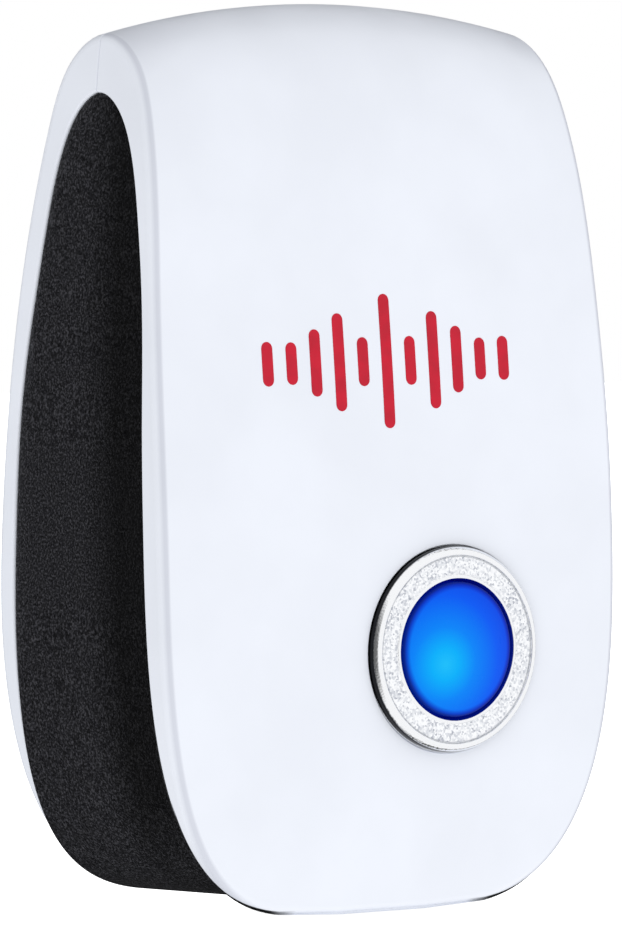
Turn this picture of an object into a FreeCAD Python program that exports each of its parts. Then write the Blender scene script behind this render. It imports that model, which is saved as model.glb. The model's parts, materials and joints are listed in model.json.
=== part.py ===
import FreeCAD, Part
import math
import os
from FreeCAD import Placement, Rotation, Vector

os.makedirs("parts", exist_ok=True)

# A plug-in ultrasonic pest repeller, in millimetres.
#
# The pieces are drawn in a drawing frame: x to the right seen from the front, y from
# the seam plane between the two covers towards the wall, z up from the lowest point.
# save() moves them to the part's own frame, whose origin is the centre of the plug's
# engagement face: +Z up, +Y into the wall, the front looking along -Y.

# Casing form
HEIGHT = 102.0
HALF_WIDTH = 31.9
WIDEST_Z = 46.0
SIDE_RADIUS = 413.0
CROWN_RADIUS = 120.0
CROWN_REACH = 36.0
CROWN_STATIONS = 7
FACE_ROUND = 1.2
WALL = 2.0

# Outlines seen from the front: how far the sides are set in, the height of the flat
# bottom, half its width and the power of the corner curve. The front cover reaches
# lowest; the rear cover and the side band stop short of its rim.
FRONT_FORM = (0.0, 0.0, 5.9, 3.2)
REAR_FORM = (0.0, 2.35, 5.1, 3.3)
BAND_FORM = (0.3, 1.95, 5.1, 3.55)
CORNER_POINTS = 13

# Depth of the front and the rear face from the seam plane, as (distance down from the
# crowned ridge, depth). Both run smoothly into each other over the ridge.
FRONT_PROFILE = [
    (2.8, 6.3), (10.2, 10.1), (29, 12.9), (46, 14.1), (63, 14.4), (79, 13.8), (94, 12.3), (104, 10.7)]
REAR_PROFILE = [
    (2.8, 5.9), (10.2, 9.4), (29, 13.6), (46, 16.0), (63, 17.5), (79, 17.3), (94, 16.5), (104, 15.5)]

# Side band: a U of one piece, let into the covers. Its side outline in (y, z).
BAND_OUTLINE = [
    (-10.75, 55.0), (-10.7, 64.0), (-10.2, 71.0), (-9.05, 78.3), (-6.9, 86.0), (-3.4, 90.8), (-0.2, 92.0),
    (2.4, 91.0), (5.9, 86.25), (8.2, 78.5), (9.85, 70.7), (12.2, 59.0), (13.5, 47.3), (14.35, 35.5),
    (14.7, 23.7), (15.1, 8.0), (15.3, -6.0)]
BAND_THICKNESS = 3.0
BAND_LIP = 2.0
LIP_RECESS = 2.1
BAND_PLAY = 0.05
SLOT_COUNT = 7
SLOT_PITCH = 2.5
SLOT_WIDTH = 1.2
SLOT_FRONT_Y = -2.0
SLOT_REAR_Y = 12.0

# Button. Its pieces are turned about their own axis, with depth d counted inwards from
# the front face, then set into the cover at a slight downward lean.
BUTTON_X = 8.1
BUTTON_Z = 29.15
BUTTON_LEAN = 1.8
LENS_RADIUS = 7.6
LENS_DOME_D = -2.1
LENS_RIM_D = -1.05
LENS_RIM_ROUND = 0.6
LENS_WALL = 1.2
LENS_FLANGE_RADIUS = 8.9
LENS_FLANGE_D = 4.6
LENS_FLANGE_THICKNESS = 1.0
BEZEL_RADIUS = 11.6
BEZEL_PROUD = 1.2
BEZEL_DISH = 0.15
BEZEL_RIM_BEVEL = 0.6
BEZEL_LIP_BEVEL = 0.5
BEZEL_LIP_D = -0.4
BEZEL_SEAT_D = 0.5
BEZEL_BORE = 7.8
BEZEL_NECK_RADIUS = 9.2
BEZEL_NECK_D = 4.5
BEZEL_HOLE = 9.3
PAD_BACK_D = 2.3
PAD_RADIUS = 11.4
CLIP_RADIUS = 10.9
CLIP_THICKNESS = 0.8
STEM_RADIUS = 2.2

# Main board, parallel to the seam plane
BOARD_FRONT_Y = -3.0
BOARD_THICKNESS = 1.6
BOARD_HALF_WIDTH = 23.0
BOARD_BOTTOM_Z = 18.5
BOARD_TOP_Z = 78.5
BOARD_SCREWS = [(-20.0, 22.0), (20.0, 22.0), (-20.0, 75.0), (20.0, 75.0)]
BOARD_POST_RADIUS = 2.0
BOARD_SCREW_LENGTH = 6.5
SMALL_SCREW_RADIUS = 1.0
SMALL_HEAD_RADIUS = 1.9
SMALL_HEAD_HEIGHT = 1.3
SWITCH_WIDTH = 6.0
SWITCH_HEIGHT = 4.2
PLUNGER_RADIUS = 1.75
PLUNGER_BORE = 1.9
PLUNGER_STICKOUT = 1.5
PLUNGER_LENGTH = 2.6
PLUNGER_TRAVEL_ROOM = 1.1
LED_RADIUS = 1.5
LED_HEIGHT = 4.5
LED_OFFSET = 4.7

# Plug: two flat parallel blades in an insulating base
PLUG_Z = 56.0
WALL_Y = 19.0
BLADE_SPACING = 12.7
BLADE_WIDTH = 6.35
BLADE_THICKNESS = 1.52
BLADE_LENGTH = 17.5
BLADE_HOLE_RADIUS = 1.6
BLADE_TAB_Y = 6.0
BASE_WIDTH = 32.0
BASE_HEIGHT = 22.0
BASE_CORNER = 5.0
BASE_PLAY = 0.1
FLANGE_WIDTH = 42.0
FLANGE_HEIGHT = 28.0
FLANGE_Y = 10.0
FLANGE_THICKNESS = 2.0
PLUG_SCREW_X = 18.5
PLUG_SCREW_TIP_Y = 14.0

# Case screws, driven from the rear
CASE_SCREWS = [(-20.0, 12.0), (20.0, 12.0), (-22.0, 84.0), (22.0, 84.0)]
CASE_SCREW_RADIUS = 1.25
CASE_SCREW_LENGTH = 12.0
CASE_HEAD_RADIUS = 2.4
CASE_HEAD_HEIGHT = 1.8
CASE_SEAT_Y = 4.0
FRONT_BOSS_RADIUS = 3.0
REAR_BOSS_RADIUS = 4.0
HEAD_RECESS_RADIUS = 2.75

# Transducer, facing down through the slots
CAN_Y = 5.0
CAN_RADIUS = 8.0
CAN_BOTTOM_Z = 5.95
CAN_HEIGHT = 12.0
CAN_WALL = 0.7
WIRE_RADIUS = 0.6

BAND_INSIDE_Z = BAND_FORM[1] + BAND_THICKNESS
BOARD_REAR_Y = BOARD_FRONT_Y + BOARD_THICKNESS
FAR = 60.0


def save(name, *solids):
    """Move the solids to the part's own frame and write them as one node."""
    moved = []
    for solid in solids:
        copy = solid.copy()
        copy.translate(Vector(0, -WALL_Y, -PLUG_Z))
        moved.append(copy)
    shape = moved[0] if len(moved) == 1 else Part.makeCompound(moved)
    shape.exportStep("parts/%s.step" % name)


def rod(start, end, radius):
    start = Vector(*start)
    run = Vector(*end) - start
    return Part.makeCylinder(radius, run.Length, start, run)


def block(x, y, z):
    """A box from three (low, high) pairs."""
    return Part.makeBox(x[1] - x[0], y[1] - y[0], z[1] - z[0], Vector(x[0], y[0], z[0]))


def joined(solids):
    result = solids[0].fuse(solids[1:]) if len(solids) > 1 else solids[0]
    return result.removeSplitter()


def rounded_block(width, height, corner, centre_z, low_y, high_y):
    """A rounded rectangle in the x-z plane, extruded from low_y to high_y."""
    half = width / 2
    box = block((-half, half), (low_y, high_y), (centre_z - height / 2, centre_z + height / 2))
    corners = [edge for edge in box.Edges if abs(edge.tangentAt(edge.FirstParameter).y) > 0.9]
    return box.makeFillet(corner, corners)


# ---- Casing form ----------------------------------------------------------------

def smooth_curve(points, inset):
    """A curve through points in the y-z plane, moved to its right-hand side by inset."""
    curve = Part.BSplineCurve()
    curve.interpolate(points)
    placed = []
    for point in points:
        along = curve.tangent(curve.parameter(point))[0]
        placed.append(point + Vector(0, along.z, -along.y) * inset)
    moved = Part.BSplineCurve()
    moved.interpolate(placed)
    return moved.toShape(), placed[0], placed[-1]


def side_section(inset):
    """The side section on the middle plane, front to rear over the ridge, as a closed wire."""
    points = [Vector(0, -depth, HEIGHT - down) for down, depth in reversed(FRONT_PROFILE)]
    points.append(Vector(0, 0, HEIGHT))
    points += [Vector(0, depth, HEIGHT - down) for down, depth in REAR_PROFILE]
    section, front_end, rear_end = smooth_curve(points, inset)
    return Part.Wire([section, Part.makeLine(rear_end, front_end)])


def crowned_body(inset):
    """The side section carried across the width and lowered towards the sides."""
    section = side_section(inset)
    wires = []
    for index in range(CROWN_STATIONS):
        x = CROWN_REACH * (2 * index / (CROWN_STATIONS - 1) - 1)
        drop = CROWN_RADIUS - math.sqrt(CROWN_RADIUS ** 2 - x ** 2)
        wire = section.copy()
        wire.translate(Vector(x, 0, -drop))
        wires.append(wire)
    return Part.makeLoft(wires, True, False)


def side_x(z, inset):
    rise = z - WIDEST_Z
    return HALF_WIDTH - inset - SIDE_RADIUS + math.sqrt(SIDE_RADIUS ** 2 - rise ** 2)


def outline_prism(outline, inset):
    """One of the outlines seen from the front, extruded through the whole depth."""
    side_inset, bottom_z, half_flat, power = outline
    inset_x = side_inset + inset
    low_z = bottom_z + inset
    points = []
    for index in range(CORNER_POINTS):
        turn = math.pi / 2 * index / (CORNER_POINTS - 1)
        x = half_flat + (HALF_WIDTH - half_flat - inset_x) * math.sin(turn) ** (2 / power)
        z = WIDEST_Z - (WIDEST_Z - low_z) * math.cos(turn) ** (2 / power)
        points.append(Vector(x, 0, z))
    corner = Part.BSplineCurve()
    corner.interpolate(Points=points, InitialTangent=Vector(1, 0, 0), FinalTangent=Vector(0, 0, 1))
    top_z = HEIGHT + 6
    middle_z = (WIDEST_Z + top_z) / 2
    side = Part.Arc(
        Vector(side_x(WIDEST_Z, inset_x), 0, WIDEST_Z),
        Vector(side_x(middle_z, inset_x), 0, middle_z),
        Vector(side_x(top_z, inset_x), 0, top_z))
    right = [corner.toShape(), side.toShape()]
    left = [edge.mirror(Vector(0, 0, 0), Vector(1, 0, 0)) for edge in right]
    bottom = Part.makeLine(Vector(-half_flat, 0, low_z), Vector(half_flat, 0, low_z))
    top = Part.makeLine(Vector(side_x(top_z, inset_x), 0, top_z), Vector(-side_x(top_z, inset_x), 0, top_z))
    loop = Part.Wire(Part.__sortEdges__(right + left + [bottom, top]))
    face = Part.Face(loop)
    face.translate(Vector(0, -FAR, 0))
    return face.extrude(Vector(0, 2 * FAR, 0))


def form(outline, inset):
    return crowned_body(inset).common(outline_prism(outline, inset))


def rounded_form(outline):
    """The outer form with its front and rear face edges rounded."""
    sharp = form(outline, 0)
    edges = []
    for edge in sharp.Edges:
        across = edge.valueAt(edge.FirstParameter) - edge.valueAt(edge.LastParameter)
        if abs(across.y) < 0.9 * across.Length or abs(across.z) > 1:
            edges.append(edge)
    return sharp.makeFillet(FACE_ROUND, edges)


# The button's depths follow from where the front face is at its centre
front_form = rounded_form(FRONT_FORM)
button_line = rod((BUTTON_X, -FAR, BUTTON_Z), (BUTTON_X, 0, BUTTON_Z), 0.01)
BUTTON_DEPTH = -front_form.common(button_line).BoundBox.YMin
BOARD_D = BUTTON_DEPTH + BOARD_FRONT_Y
PLUNGER_TOP_D = BOARD_D - SWITCH_HEIGHT - PLUNGER_STICKOUT
PLUNGER_BORE_D = PLUNGER_TOP_D + PLUNGER_LENGTH + PLUNGER_TRAVEL_ROOM


# ---- Side band ------------------------------------------------------------------

def band_prism(grow):
    """The band's side outline through the whole width, grown by a margin."""
    points = [Vector(0, y, z) for y, z in BAND_OUTLINE]
    section, front_end, rear_end = smooth_curve(points, -grow)
    corner = Vector(0, front_end.y, rear_end.z)
    wire = Part.Wire([
        section,
        Part.makeLine(rear_end, corner),
        Part.makeLine(corner, front_end)])
    face = Part.Face(wire)
    face.translate(Vector(-FAR, 0, 0))
    return face.extrude(Vector(2 * FAR, 0, 0))


def side_band():
    showing = outline_prism(BAND_FORM, 0).common(band_prism(-BAND_PLAY))
    lip = form(FRONT_FORM, LIP_RECESS).common(outline_prism(REAR_FORM, LIP_RECESS))
    band = showing.fuse(lip.common(band_prism(BAND_LIP)))
    band = band.cut(outline_prism(BAND_FORM, BAND_THICKNESS))
    for index in range(SLOT_COUNT):
        x = SLOT_PITCH * (index - (SLOT_COUNT - 1) / 2)
        band = band.cut(block(
            (x - SLOT_WIDTH / 2, x + SLOT_WIDTH / 2),
            (SLOT_FRONT_Y, SLOT_REAR_Y),
            (-1, BAND_INSIDE_Z + 1)))
    return band


# ---- Button ---------------------------------------------------------------------

def at_button(shape):
    """Set a piece that was turned about the y axis into the front cover."""
    placed = shape.copy()
    lean = Rotation(Vector(1, 0, 0), BUTTON_LEAN)
    placed.Placement = Placement(Vector(BUTTON_X, -BUTTON_DEPTH, BUTTON_Z), lean)
    return placed


def turned(outline):
    """A lathe form about the y axis from (radius, d) points."""
    points = [Vector(radius, d, 0) for radius, d in outline]
    face = Part.Face(Part.makePolygon(points + [points[0]]))
    return face.revolve(Vector(0, 0, 0), Vector(0, 1, 0), 360)


def disc(radius, low_d, high_d, bore=0):
    ring = rod((0, low_d, 0), (0, high_d, 0), radius)
    return ring.cut(rod((0, low_d, 0), (0, high_d, 0), bore)) if bore else ring


def bezel_ring():
    """A ring with bevelled inner and outer edges, a slightly dished face and a neck."""
    face_radius = (BEZEL_RADIUS + BEZEL_BORE) / 2
    return at_button(turned([
        (BEZEL_BORE, BEZEL_LIP_D),
        (BEZEL_BORE + BEZEL_LIP_BEVEL, -BEZEL_PROUD),
        (face_radius, -BEZEL_PROUD + BEZEL_DISH),
        (BEZEL_RADIUS - BEZEL_RIM_BEVEL, -BEZEL_PROUD),
        (BEZEL_RADIUS, -BEZEL_PROUD + BEZEL_RIM_BEVEL),
        (BEZEL_RADIUS, BEZEL_SEAT_D),
        (BEZEL_NECK_RADIUS, BEZEL_SEAT_D),
        (BEZEL_NECK_RADIUS, BEZEL_NECK_D),
        (BEZEL_BORE, BEZEL_NECK_D)]))


def lens_button():
    """A hollow domed cap with a flange that keeps it behind the bezel."""
    sag = LENS_RIM_D - LENS_DOME_D
    dome_radius = (LENS_RADIUS ** 2 + sag ** 2) / (2 * sag)
    outer = disc(LENS_RADIUS, LENS_DOME_D - 1, LENS_FLANGE_D)
    outer = outer.common(Part.makeSphere(dome_radius, Vector(0, LENS_DOME_D + dome_radius, 0)))
    skirt = disc(LENS_RADIUS, LENS_RIM_D + LENS_RIM_ROUND, LENS_FLANGE_D)
    flange = disc(LENS_FLANGE_RADIUS, LENS_FLANGE_D, LENS_FLANGE_D + LENS_FLANGE_THICKNESS)
    hollow = disc(LENS_RADIUS - LENS_WALL, LENS_RIM_D + LENS_WALL, LENS_FLANGE_D + 2)
    return at_button(joined([outer, skirt, flange]).cut(hollow))


# ---- Covers ---------------------------------------------------------------------

def front_cover(shell, limit, opening):
    half = block((-FAR, FAR), (-FAR, 0), (-FAR, 2 * HEIGHT))
    cover = shell.common(half).cut(opening)
    inside_y = -FAR / 2
    extras = []
    for x, z in CASE_SCREWS:
        extras.append(rod((x, 0, z), (x, inside_y, z), FRONT_BOSS_RADIUS).common(limit))
    for x, z in BOARD_SCREWS:
        extras.append(rod((x, BOARD_FRONT_Y, z), (x, inside_y, z), BOARD_POST_RADIUS).common(limit))
    extras.append(at_button(disc(PAD_RADIUS, 0, PAD_BACK_D)).common(limit))
    cover = joined([cover] + extras)
    for x, z in CASE_SCREWS:
        tip = CASE_SEAT_Y - CASE_SCREW_LENGTH
        cover = cover.cut(rod((x, 1, z), (x, tip, z), CASE_SCREW_RADIUS))
    for x, z in BOARD_SCREWS:
        cover = cover.cut(rod((x, 1, z), (x, BOARD_REAR_Y - BOARD_SCREW_LENGTH, z), SMALL_SCREW_RADIUS))
    cover = cover.cut(at_button(disc(BEZEL_HOLE, -5, 10)))
    cover = cover.cut(at_button(disc(CLIP_RADIUS + BASE_PLAY, PAD_BACK_D, PAD_BACK_D + 4)))
    return cover.cut(at_button(disc(BEZEL_RADIUS + BASE_PLAY, -5, BEZEL_SEAT_D)))


def rear_cover(shell, limit, opening):
    half = block((-FAR, FAR), (0, FAR), (-FAR, 2 * HEIGHT))
    cover = shell.common(half).cut(opening)
    inside_band = outline_prism(BAND_FORM, BAND_THICKNESS + BAND_PLAY)
    pad_y = FLANGE_Y + FLANGE_THICKNESS
    extras = [rounded_block(FLANGE_WIDTH, FLANGE_HEIGHT, BASE_CORNER, PLUG_Z, pad_y, FAR).common(limit)]
    for x, z in CASE_SCREWS:
        extras.append(rod((x, 0, z), (x, FAR, z), REAR_BOSS_RADIUS).common(limit).common(inside_band))
    cover = joined([cover] + extras)
    for x, z in CASE_SCREWS:
        cover = cover.cut(rod((x, CASE_SEAT_Y, z), (x, FAR, z), HEAD_RECESS_RADIUS))
        cover = cover.cut(rod((x, -1, z), (x, FAR, z), CASE_SCREW_RADIUS))
    for side in (-1, 1):
        x = side * PLUG_SCREW_X
        cover = cover.cut(rod((x, 0, PLUG_Z), (x, PLUG_SCREW_TIP_Y, PLUG_Z), SMALL_SCREW_RADIUS))
    gap = 2 * BASE_PLAY
    cover = cover.cut(rounded_block(
        FLANGE_WIDTH + gap, FLANGE_HEIGHT + gap, BASE_CORNER + BASE_PLAY, PLUG_Z, 0, pad_y))
    return cover.cut(rounded_block(
        BASE_WIDTH + gap, BASE_HEIGHT + gap, BASE_CORNER + BASE_PLAY, PLUG_Z, 0, FAR))


# ---- Plug -----------------------------------------------------------------------

def blade(side):
    """A flat blade with a hole near its tip, and a narrow tab inside for its wire."""
    x = side * BLADE_SPACING / 2
    thick = (x - BLADE_THICKNESS / 2, x + BLADE_THICKNESS / 2)
    tip_y = WALL_Y + BLADE_LENGTH
    flat = block(thick, (FLANGE_Y - 1, tip_y), (PLUG_Z - BLADE_WIDTH / 2, PLUG_Z + BLADE_WIDTH / 2))
    tip_edges = [edge for edge in flat.Edges if edge.BoundBox.YMin > tip_y - 0.01]
    flat = flat.makeChamfer(0.5, tip_edges)
    hole_y = WALL_Y + 11.7
    flat = flat.cut(rod((thick[0] - 1, hole_y, PLUG_Z), (thick[1] + 1, hole_y, PLUG_Z), BLADE_HOLE_RADIUS))
    tab = block(thick, (BLADE_TAB_Y, FLANGE_Y), (PLUG_Z - 1.5, PLUG_Z + 1.5))
    return joined([flat, tab])


def plug_base():
    boss = rounded_block(BASE_WIDTH, BASE_HEIGHT, BASE_CORNER, PLUG_Z, FLANGE_Y, WALL_Y)
    flange = rounded_block(
        FLANGE_WIDTH, FLANGE_HEIGHT, BASE_CORNER, PLUG_Z, FLANGE_Y, FLANGE_Y + FLANGE_THICKNESS)
    base = joined([boss, flange])
    for side in (-1, 1):
        x = side * PLUG_SCREW_X
        base = base.cut(blade(side))
        base = base.cut(rod((x, 0, PLUG_Z), (x, WALL_Y - 1, PLUG_Z), SMALL_SCREW_RADIUS))
    return base


def pan_screw(x, z, seat_y, reach, radius, head_radius, head_height):
    """A pan-head screw that points along y: its head rises from seat_y, away from reach."""
    away = 1 if reach < 0 else -1
    head = rod((x, seat_y, z), (x, seat_y + away * head_height, z), head_radius)
    rim = [edge for edge in head.Edges if abs(edge.BoundBox.YMin - seat_y - away * head_height) < 0.01]
    head = head.makeFillet(head_height / 3, rim[:1])
    shank = rod((x, seat_y, z), (x, seat_y + reach, z), radius)
    screw = joined([head, shank])
    slot_y = seat_y + away * head_height
    depth_y = slot_y - away * head_height / 2
    span = head_radius * 0.55
    narrow = head_radius * 0.16
    low_y = min(slot_y, depth_y) - (0 if away > 0 else 1)
    high_y = max(slot_y, depth_y) + (1 if away > 0 else 0)
    for wide, tall in ((span, narrow), (narrow, span)):
        screw = screw.cut(block((x - wide, x + wide), (low_y, high_y), (z - tall, z + tall)))
    return screw


# ---- Wires ----------------------------------------------------------------------

def wire(points, radius, bend):
    """A round wire along straight runs joined by tangent arcs."""
    points = [Vector(*point) for point in points]
    edges = []
    start = points[0]
    for before, corner, after in zip(points, points[1:], points[2:]):
        toward = (before - corner).normalize()
        onward = (after - corner).normalize()
        half_angle = toward.getAngle(onward) / 2
        cut = bend / math.tan(half_angle)
        arc_start = corner + toward * cut
        arc_end = corner + onward * cut
        middle_way = (toward + onward).normalize()
        arc_middle = corner + middle_way * (bend / math.sin(half_angle) - bend)
        edges.append(Part.makeLine(start, arc_start))
        edges.append(Part.Arc(arc_start, arc_middle, arc_end).toShape())
        start = arc_end
    edges.append(Part.makeLine(start, points[-1]))
    section = Part.Wire(Part.makeCircle(radius, points[0], points[1] - points[0]))
    return Part.Wire(edges).makePipeShell([section], True, False)


# ---- Main board and what is on it -----------------------------------------------

def main_board():
    board = block(
        (-BOARD_HALF_WIDTH, BOARD_HALF_WIDTH),
        (BOARD_FRONT_Y, BOARD_REAR_Y),
        (BOARD_BOTTOM_Z, BOARD_TOP_Z))
    for x, z in BOARD_SCREWS:
        board = board.cut(rod((x, -FAR, z), (x, FAR, z), SMALL_SCREW_RADIUS))
    return board


def tact_switch_body():
    half = SWITCH_WIDTH / 2
    body = block(
        (BUTTON_X - half, BUTTON_X + half),
        (BOARD_FRONT_Y - SWITCH_HEIGHT, BOARD_FRONT_Y),
        (BUTTON_Z - half, BUTTON_Z + half))
    return body.cut(at_button(disc(PLUNGER_BORE, 0, PLUNGER_BORE_D)))


def led(x):
    """A small round lamp: a flanged foot, a barrel and a domed top."""
    top_y = BOARD_FRONT_Y - LED_HEIGHT
    dome_y = top_y + LED_RADIUS
    foot = rod((x, BOARD_FRONT_Y, BUTTON_Z), (x, BOARD_FRONT_Y - 0.6, BUTTON_Z), LED_RADIUS + 0.1)
    barrel = rod((x, BOARD_FRONT_Y, BUTTON_Z), (x, dome_y, BUTTON_Z), LED_RADIUS)
    dome = Part.makeSphere(LED_RADIUS, Vector(x, dome_y, BUTTON_Z))
    return joined([foot, barrel, dome])


def on_rear(x, z, width, rise, height):
    """A block standing on the board's rear face."""
    return block((x - width / 2, x + width / 2), (BOARD_REAR_Y, BOARD_REAR_Y + rise),
                 (z - height / 2, z + height / 2))


def on_front(x, z, width, rise, height):
    """A block standing on the board's front face."""
    return block((x - width / 2, x + width / 2), (BOARD_FRONT_Y - rise, BOARD_FRONT_Y),
                 (z - height / 2, z + height / 2))


def controller_chip():
    x, z = -9.0, 46.0
    body = block((x - 1.95, x + 1.95), (BOARD_FRONT_Y - 1.6, BOARD_FRONT_Y - 0.1), (z - 2.45, z + 2.45))
    pieces = [body]
    for side in (-1, 1):
        for index in range(4):
            pin_z = z + 1.27 * (index - 1.5)
            reach = sorted((x + side * 1.9, x + side * 3.0))
            pieces.append(block(reach, (BOARD_FRONT_Y - 0.3, BOARD_FRONT_Y), (pin_z - 0.2, pin_z + 0.2)))
    return joined(pieces)


def drive_transistor(x, z):
    """A three-leg transistor: a round body with a flat side on short legs."""
    low_y = BOARD_REAR_Y + 1.5
    body = rod((x, low_y, z), (x, low_y + 4.8, z), 2.3)
    body = body.cut(block((x - 3, x + 3), (low_y - 1, low_y + 6), (z + 1.2, z + 3)))
    legs = [rod((x + step, BOARD_REAR_Y, z), (x + step, low_y + 0.5, z), 0.25) for step in (-1.27, 0, 1.27)]
    return joined([body] + legs)


def bridge_rectifier():
    x, z = 3.0, 41.0
    body = on_rear(x, z, 8.4, 3.3, 6.4)
    return body.makeChamfer(0.4, [edge for edge in body.Edges if edge.BoundBox.YMin > BOARD_REAR_Y + 3])


def film_capacitor():
    body = on_rear(12.0, 31.0, 16.0, 11.0, 8.0)
    return body.makeFillet(0.6, [edge for edge in body.Edges if edge.BoundBox.YMax > BOARD_REAR_Y + 1])


def electrolytic_capacitor():
    x, z = -13.0, 33.0
    can = rod((x, BOARD_REAR_Y, z), (x, BOARD_REAR_Y + 12, z), 5.0)
    can = can.makeFillet(0.6, can.Edges[:1] + can.Edges[2:])
    groove_y = BOARD_REAR_Y + 1.8
    groove = Part.makeTorus(5.2, 0.5, Vector(x, groove_y, z), Vector(0, 1, 0))
    return can.cut(groove)


def fuse_resistor():
    x, z = -12.0, 43.0
    y = BOARD_REAR_Y + 2.6
    body = rod((x - 4.5, y, z), (x + 4.5, y, z), 2.0)
    body = body.makeFillet(0.8, body.Edges[:1] + body.Edges[2:])
    ends = []
    for side in (-1, 1):
        ends.append(wire(
            [(x + side * 4.0, y, z), (x + side * 6.0, y, z), (x + side * 6.0, BOARD_REAR_Y, z)], 0.35, 0.8))
    return joined([body] + ends)


def varistor():
    x, z = 15.5, 40.0
    y = BOARD_REAR_Y + 5.0
    body = rod((x, y, z - 1.8), (x, y, z + 1.8), 3.6)
    body = body.makeFillet(1.0, body.Edges[:1] + body.Edges[2:])
    legs = [rod((x + step, BOARD_REAR_Y, z), (x + step, y, z), 0.35) for step in (-2.5, 2.5)]
    return joined([body] + legs)


def drive_transformer():
    """An E core with a wound bobbin between its arms."""
    x, z = 0.0, 73.0
    core = on_rear(x, z, 13.0, 9.0, 4.6)
    window = block((x - 4.5, x + 4.5), (BOARD_REAR_Y - 1, BOARD_REAR_Y + 7.0), (z - 5, z + 5))
    return core.cut(window), block(
        (x - 4.4, x + 4.4), (BOARD_REAR_Y, BOARD_REAR_Y + 6.9), (z - 4.2, z + 4.2))


# ---- Transducer -----------------------------------------------------------------

def transducer_can():
    top_z = CAN_BOTTOM_Z + CAN_HEIGHT
    can = rod((0, CAN_Y, CAN_BOTTOM_Z), (0, CAN_Y, top_z), CAN_RADIUS)
    can = can.makeFillet(0.6, [edge for edge in can.Edges if edge.BoundBox.ZMin > top_z - 0.01])
    return can.cut(rod((0, CAN_Y, CAN_BOTTOM_Z - 1), (0, CAN_Y, top_z - CAN_WALL), CAN_RADIUS - CAN_WALL))


def transducer_diaphragm():
    """A shallow cone on a post, inside the can."""
    top_z = CAN_BOTTOM_Z + CAN_HEIGHT - CAN_WALL
    base = Vector(0, CAN_Y, CAN_BOTTOM_Z + 1.2)
    up = Vector(0, 0, 1)
    cone = Part.makeCone(6.6, 1.2, 4.0, base, up)
    hollow = Part.makeCone(6.0, 0.6, 3.6, base - up * 0.01, up)
    post = rod((0, CAN_Y, base.z + 3.8), (0, CAN_Y, top_z), 1.2)
    disc_low = top_z - 2.0
    plate = rod((0, CAN_Y, disc_low), (0, CAN_Y, disc_low + 0.6), 5.5)
    return joined([cone.cut(hollow), post, plate])


def transducer_gasket():
    ring = rod((0, CAN_Y, BAND_INSIDE_Z), (0, CAN_Y, CAN_BOTTOM_Z), CAN_RADIUS)
    return ring.cut(rod((0, CAN_Y, BAND_INSIDE_Z - 1), (0, CAN_Y, CAN_BOTTOM_Z + 1), CAN_RADIUS - 1.5))


# ---- All pieces -----------------------------------------------------------------

opening = band_prism(0)

save("front_cover", front_cover(
    front_form.cut(form(FRONT_FORM, WALL)), form(FRONT_FORM, WALL / 2), opening))
save("rear_cover", rear_cover(
    rounded_form(REAR_FORM).cut(form(REAR_FORM, WALL)), form(REAR_FORM, WALL / 2), opening))
save("side_band", side_band())

save("bezel_ring", bezel_ring())
save("bezel_clip", at_button(disc(CLIP_RADIUS, PAD_BACK_D, PAD_BACK_D + CLIP_THICKNESS, BEZEL_NECK_RADIUS)))
save("lens_button", lens_button())
save("button_stem", at_button(disc(STEM_RADIUS, LENS_RIM_D + LENS_WALL, PLUNGER_TOP_D)))
save("tact_switch_plunger", at_button(disc(PLUNGER_RADIUS, PLUNGER_TOP_D, PLUNGER_TOP_D + PLUNGER_LENGTH)))
save("tact_switch_body", tact_switch_body())

save("main_board", main_board())
save("board_screws", *[pan_screw(
    x, z, BOARD_REAR_Y, -BOARD_SCREW_LENGTH, SMALL_SCREW_RADIUS, SMALL_HEAD_RADIUS, SMALL_HEAD_HEIGHT)
    for x, z in BOARD_SCREWS])
save("blue_leds", led(BUTTON_X - LED_OFFSET), led(BUTTON_X + LED_OFFSET))
save("controller_chip", controller_chip())
save("chip_resistors", *[on_front(-16.0 + 3.2 * index, 38.0, 1.25, 0.5, 2.0) for index in range(4)])
save("chip_capacitors", *[on_front(-14.5 + 3.6 * index, 54.0, 1.25, 0.8, 2.0) for index in range(4)])
save("drive_transistors", drive_transistor(-13.0, 60.0), drive_transistor(-13.0, 53.0))
save("bridge_rectifier", bridge_rectifier())
save("film_capacitor", film_capacitor())
save("electrolytic_capacitor", electrolytic_capacitor())
save("fuse_resistor", fuse_resistor())
save("varistor", varistor())
core, winding = drive_transformer()
save("transformer_core", core)
save("transformer_winding", winding)

save("transducer_can", transducer_can())
save("transducer_diaphragm", transducer_diaphragm())
save("transducer_gasket", transducer_gasket())
can_top_z = CAN_BOTTOM_Z + CAN_HEIGHT
save("transducer_wires", *[wire(
    [(x, CAN_Y, can_top_z), (x, CAN_Y, can_top_z + 6), (x, BOARD_REAR_Y, can_top_z + 6)], WIRE_RADIUS, 2.5)
    for x in (-2.5, 2.5)])

save("plug_base", plug_base())
save("line_blade", blade(1))
save("neutral_blade", blade(-1))
save("plug_screws", *[pan_screw(
    side * PLUG_SCREW_X, PLUG_Z, FLANGE_Y, PLUG_SCREW_TIP_Y - FLANGE_Y, SMALL_SCREW_RADIUS,
    SMALL_HEAD_RADIUS, SMALL_HEAD_HEIGHT) for side in (-1, 1)])
for name, side in (("line_wire", 1), ("neutral_wire", -1)):
    x = side * BLADE_SPACING / 2
    save(name, wire([
        (x, BLADE_TAB_Y, PLUG_Z), (x, 2.6, PLUG_Z), (x + side * 2.0, 2.6, PLUG_Z - 7),
        (x + side * 2.0, BOARD_REAR_Y, PLUG_Z - 7)], 0.8, 1.5))
save("case_screws", *[pan_screw(
    x, z, CASE_SEAT_Y, -CASE_SCREW_LENGTH, CASE_SCREW_RADIUS, CASE_HEAD_RADIUS, CASE_HEAD_HEIGHT)
    for x, z in CASE_SCREWS])
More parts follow.
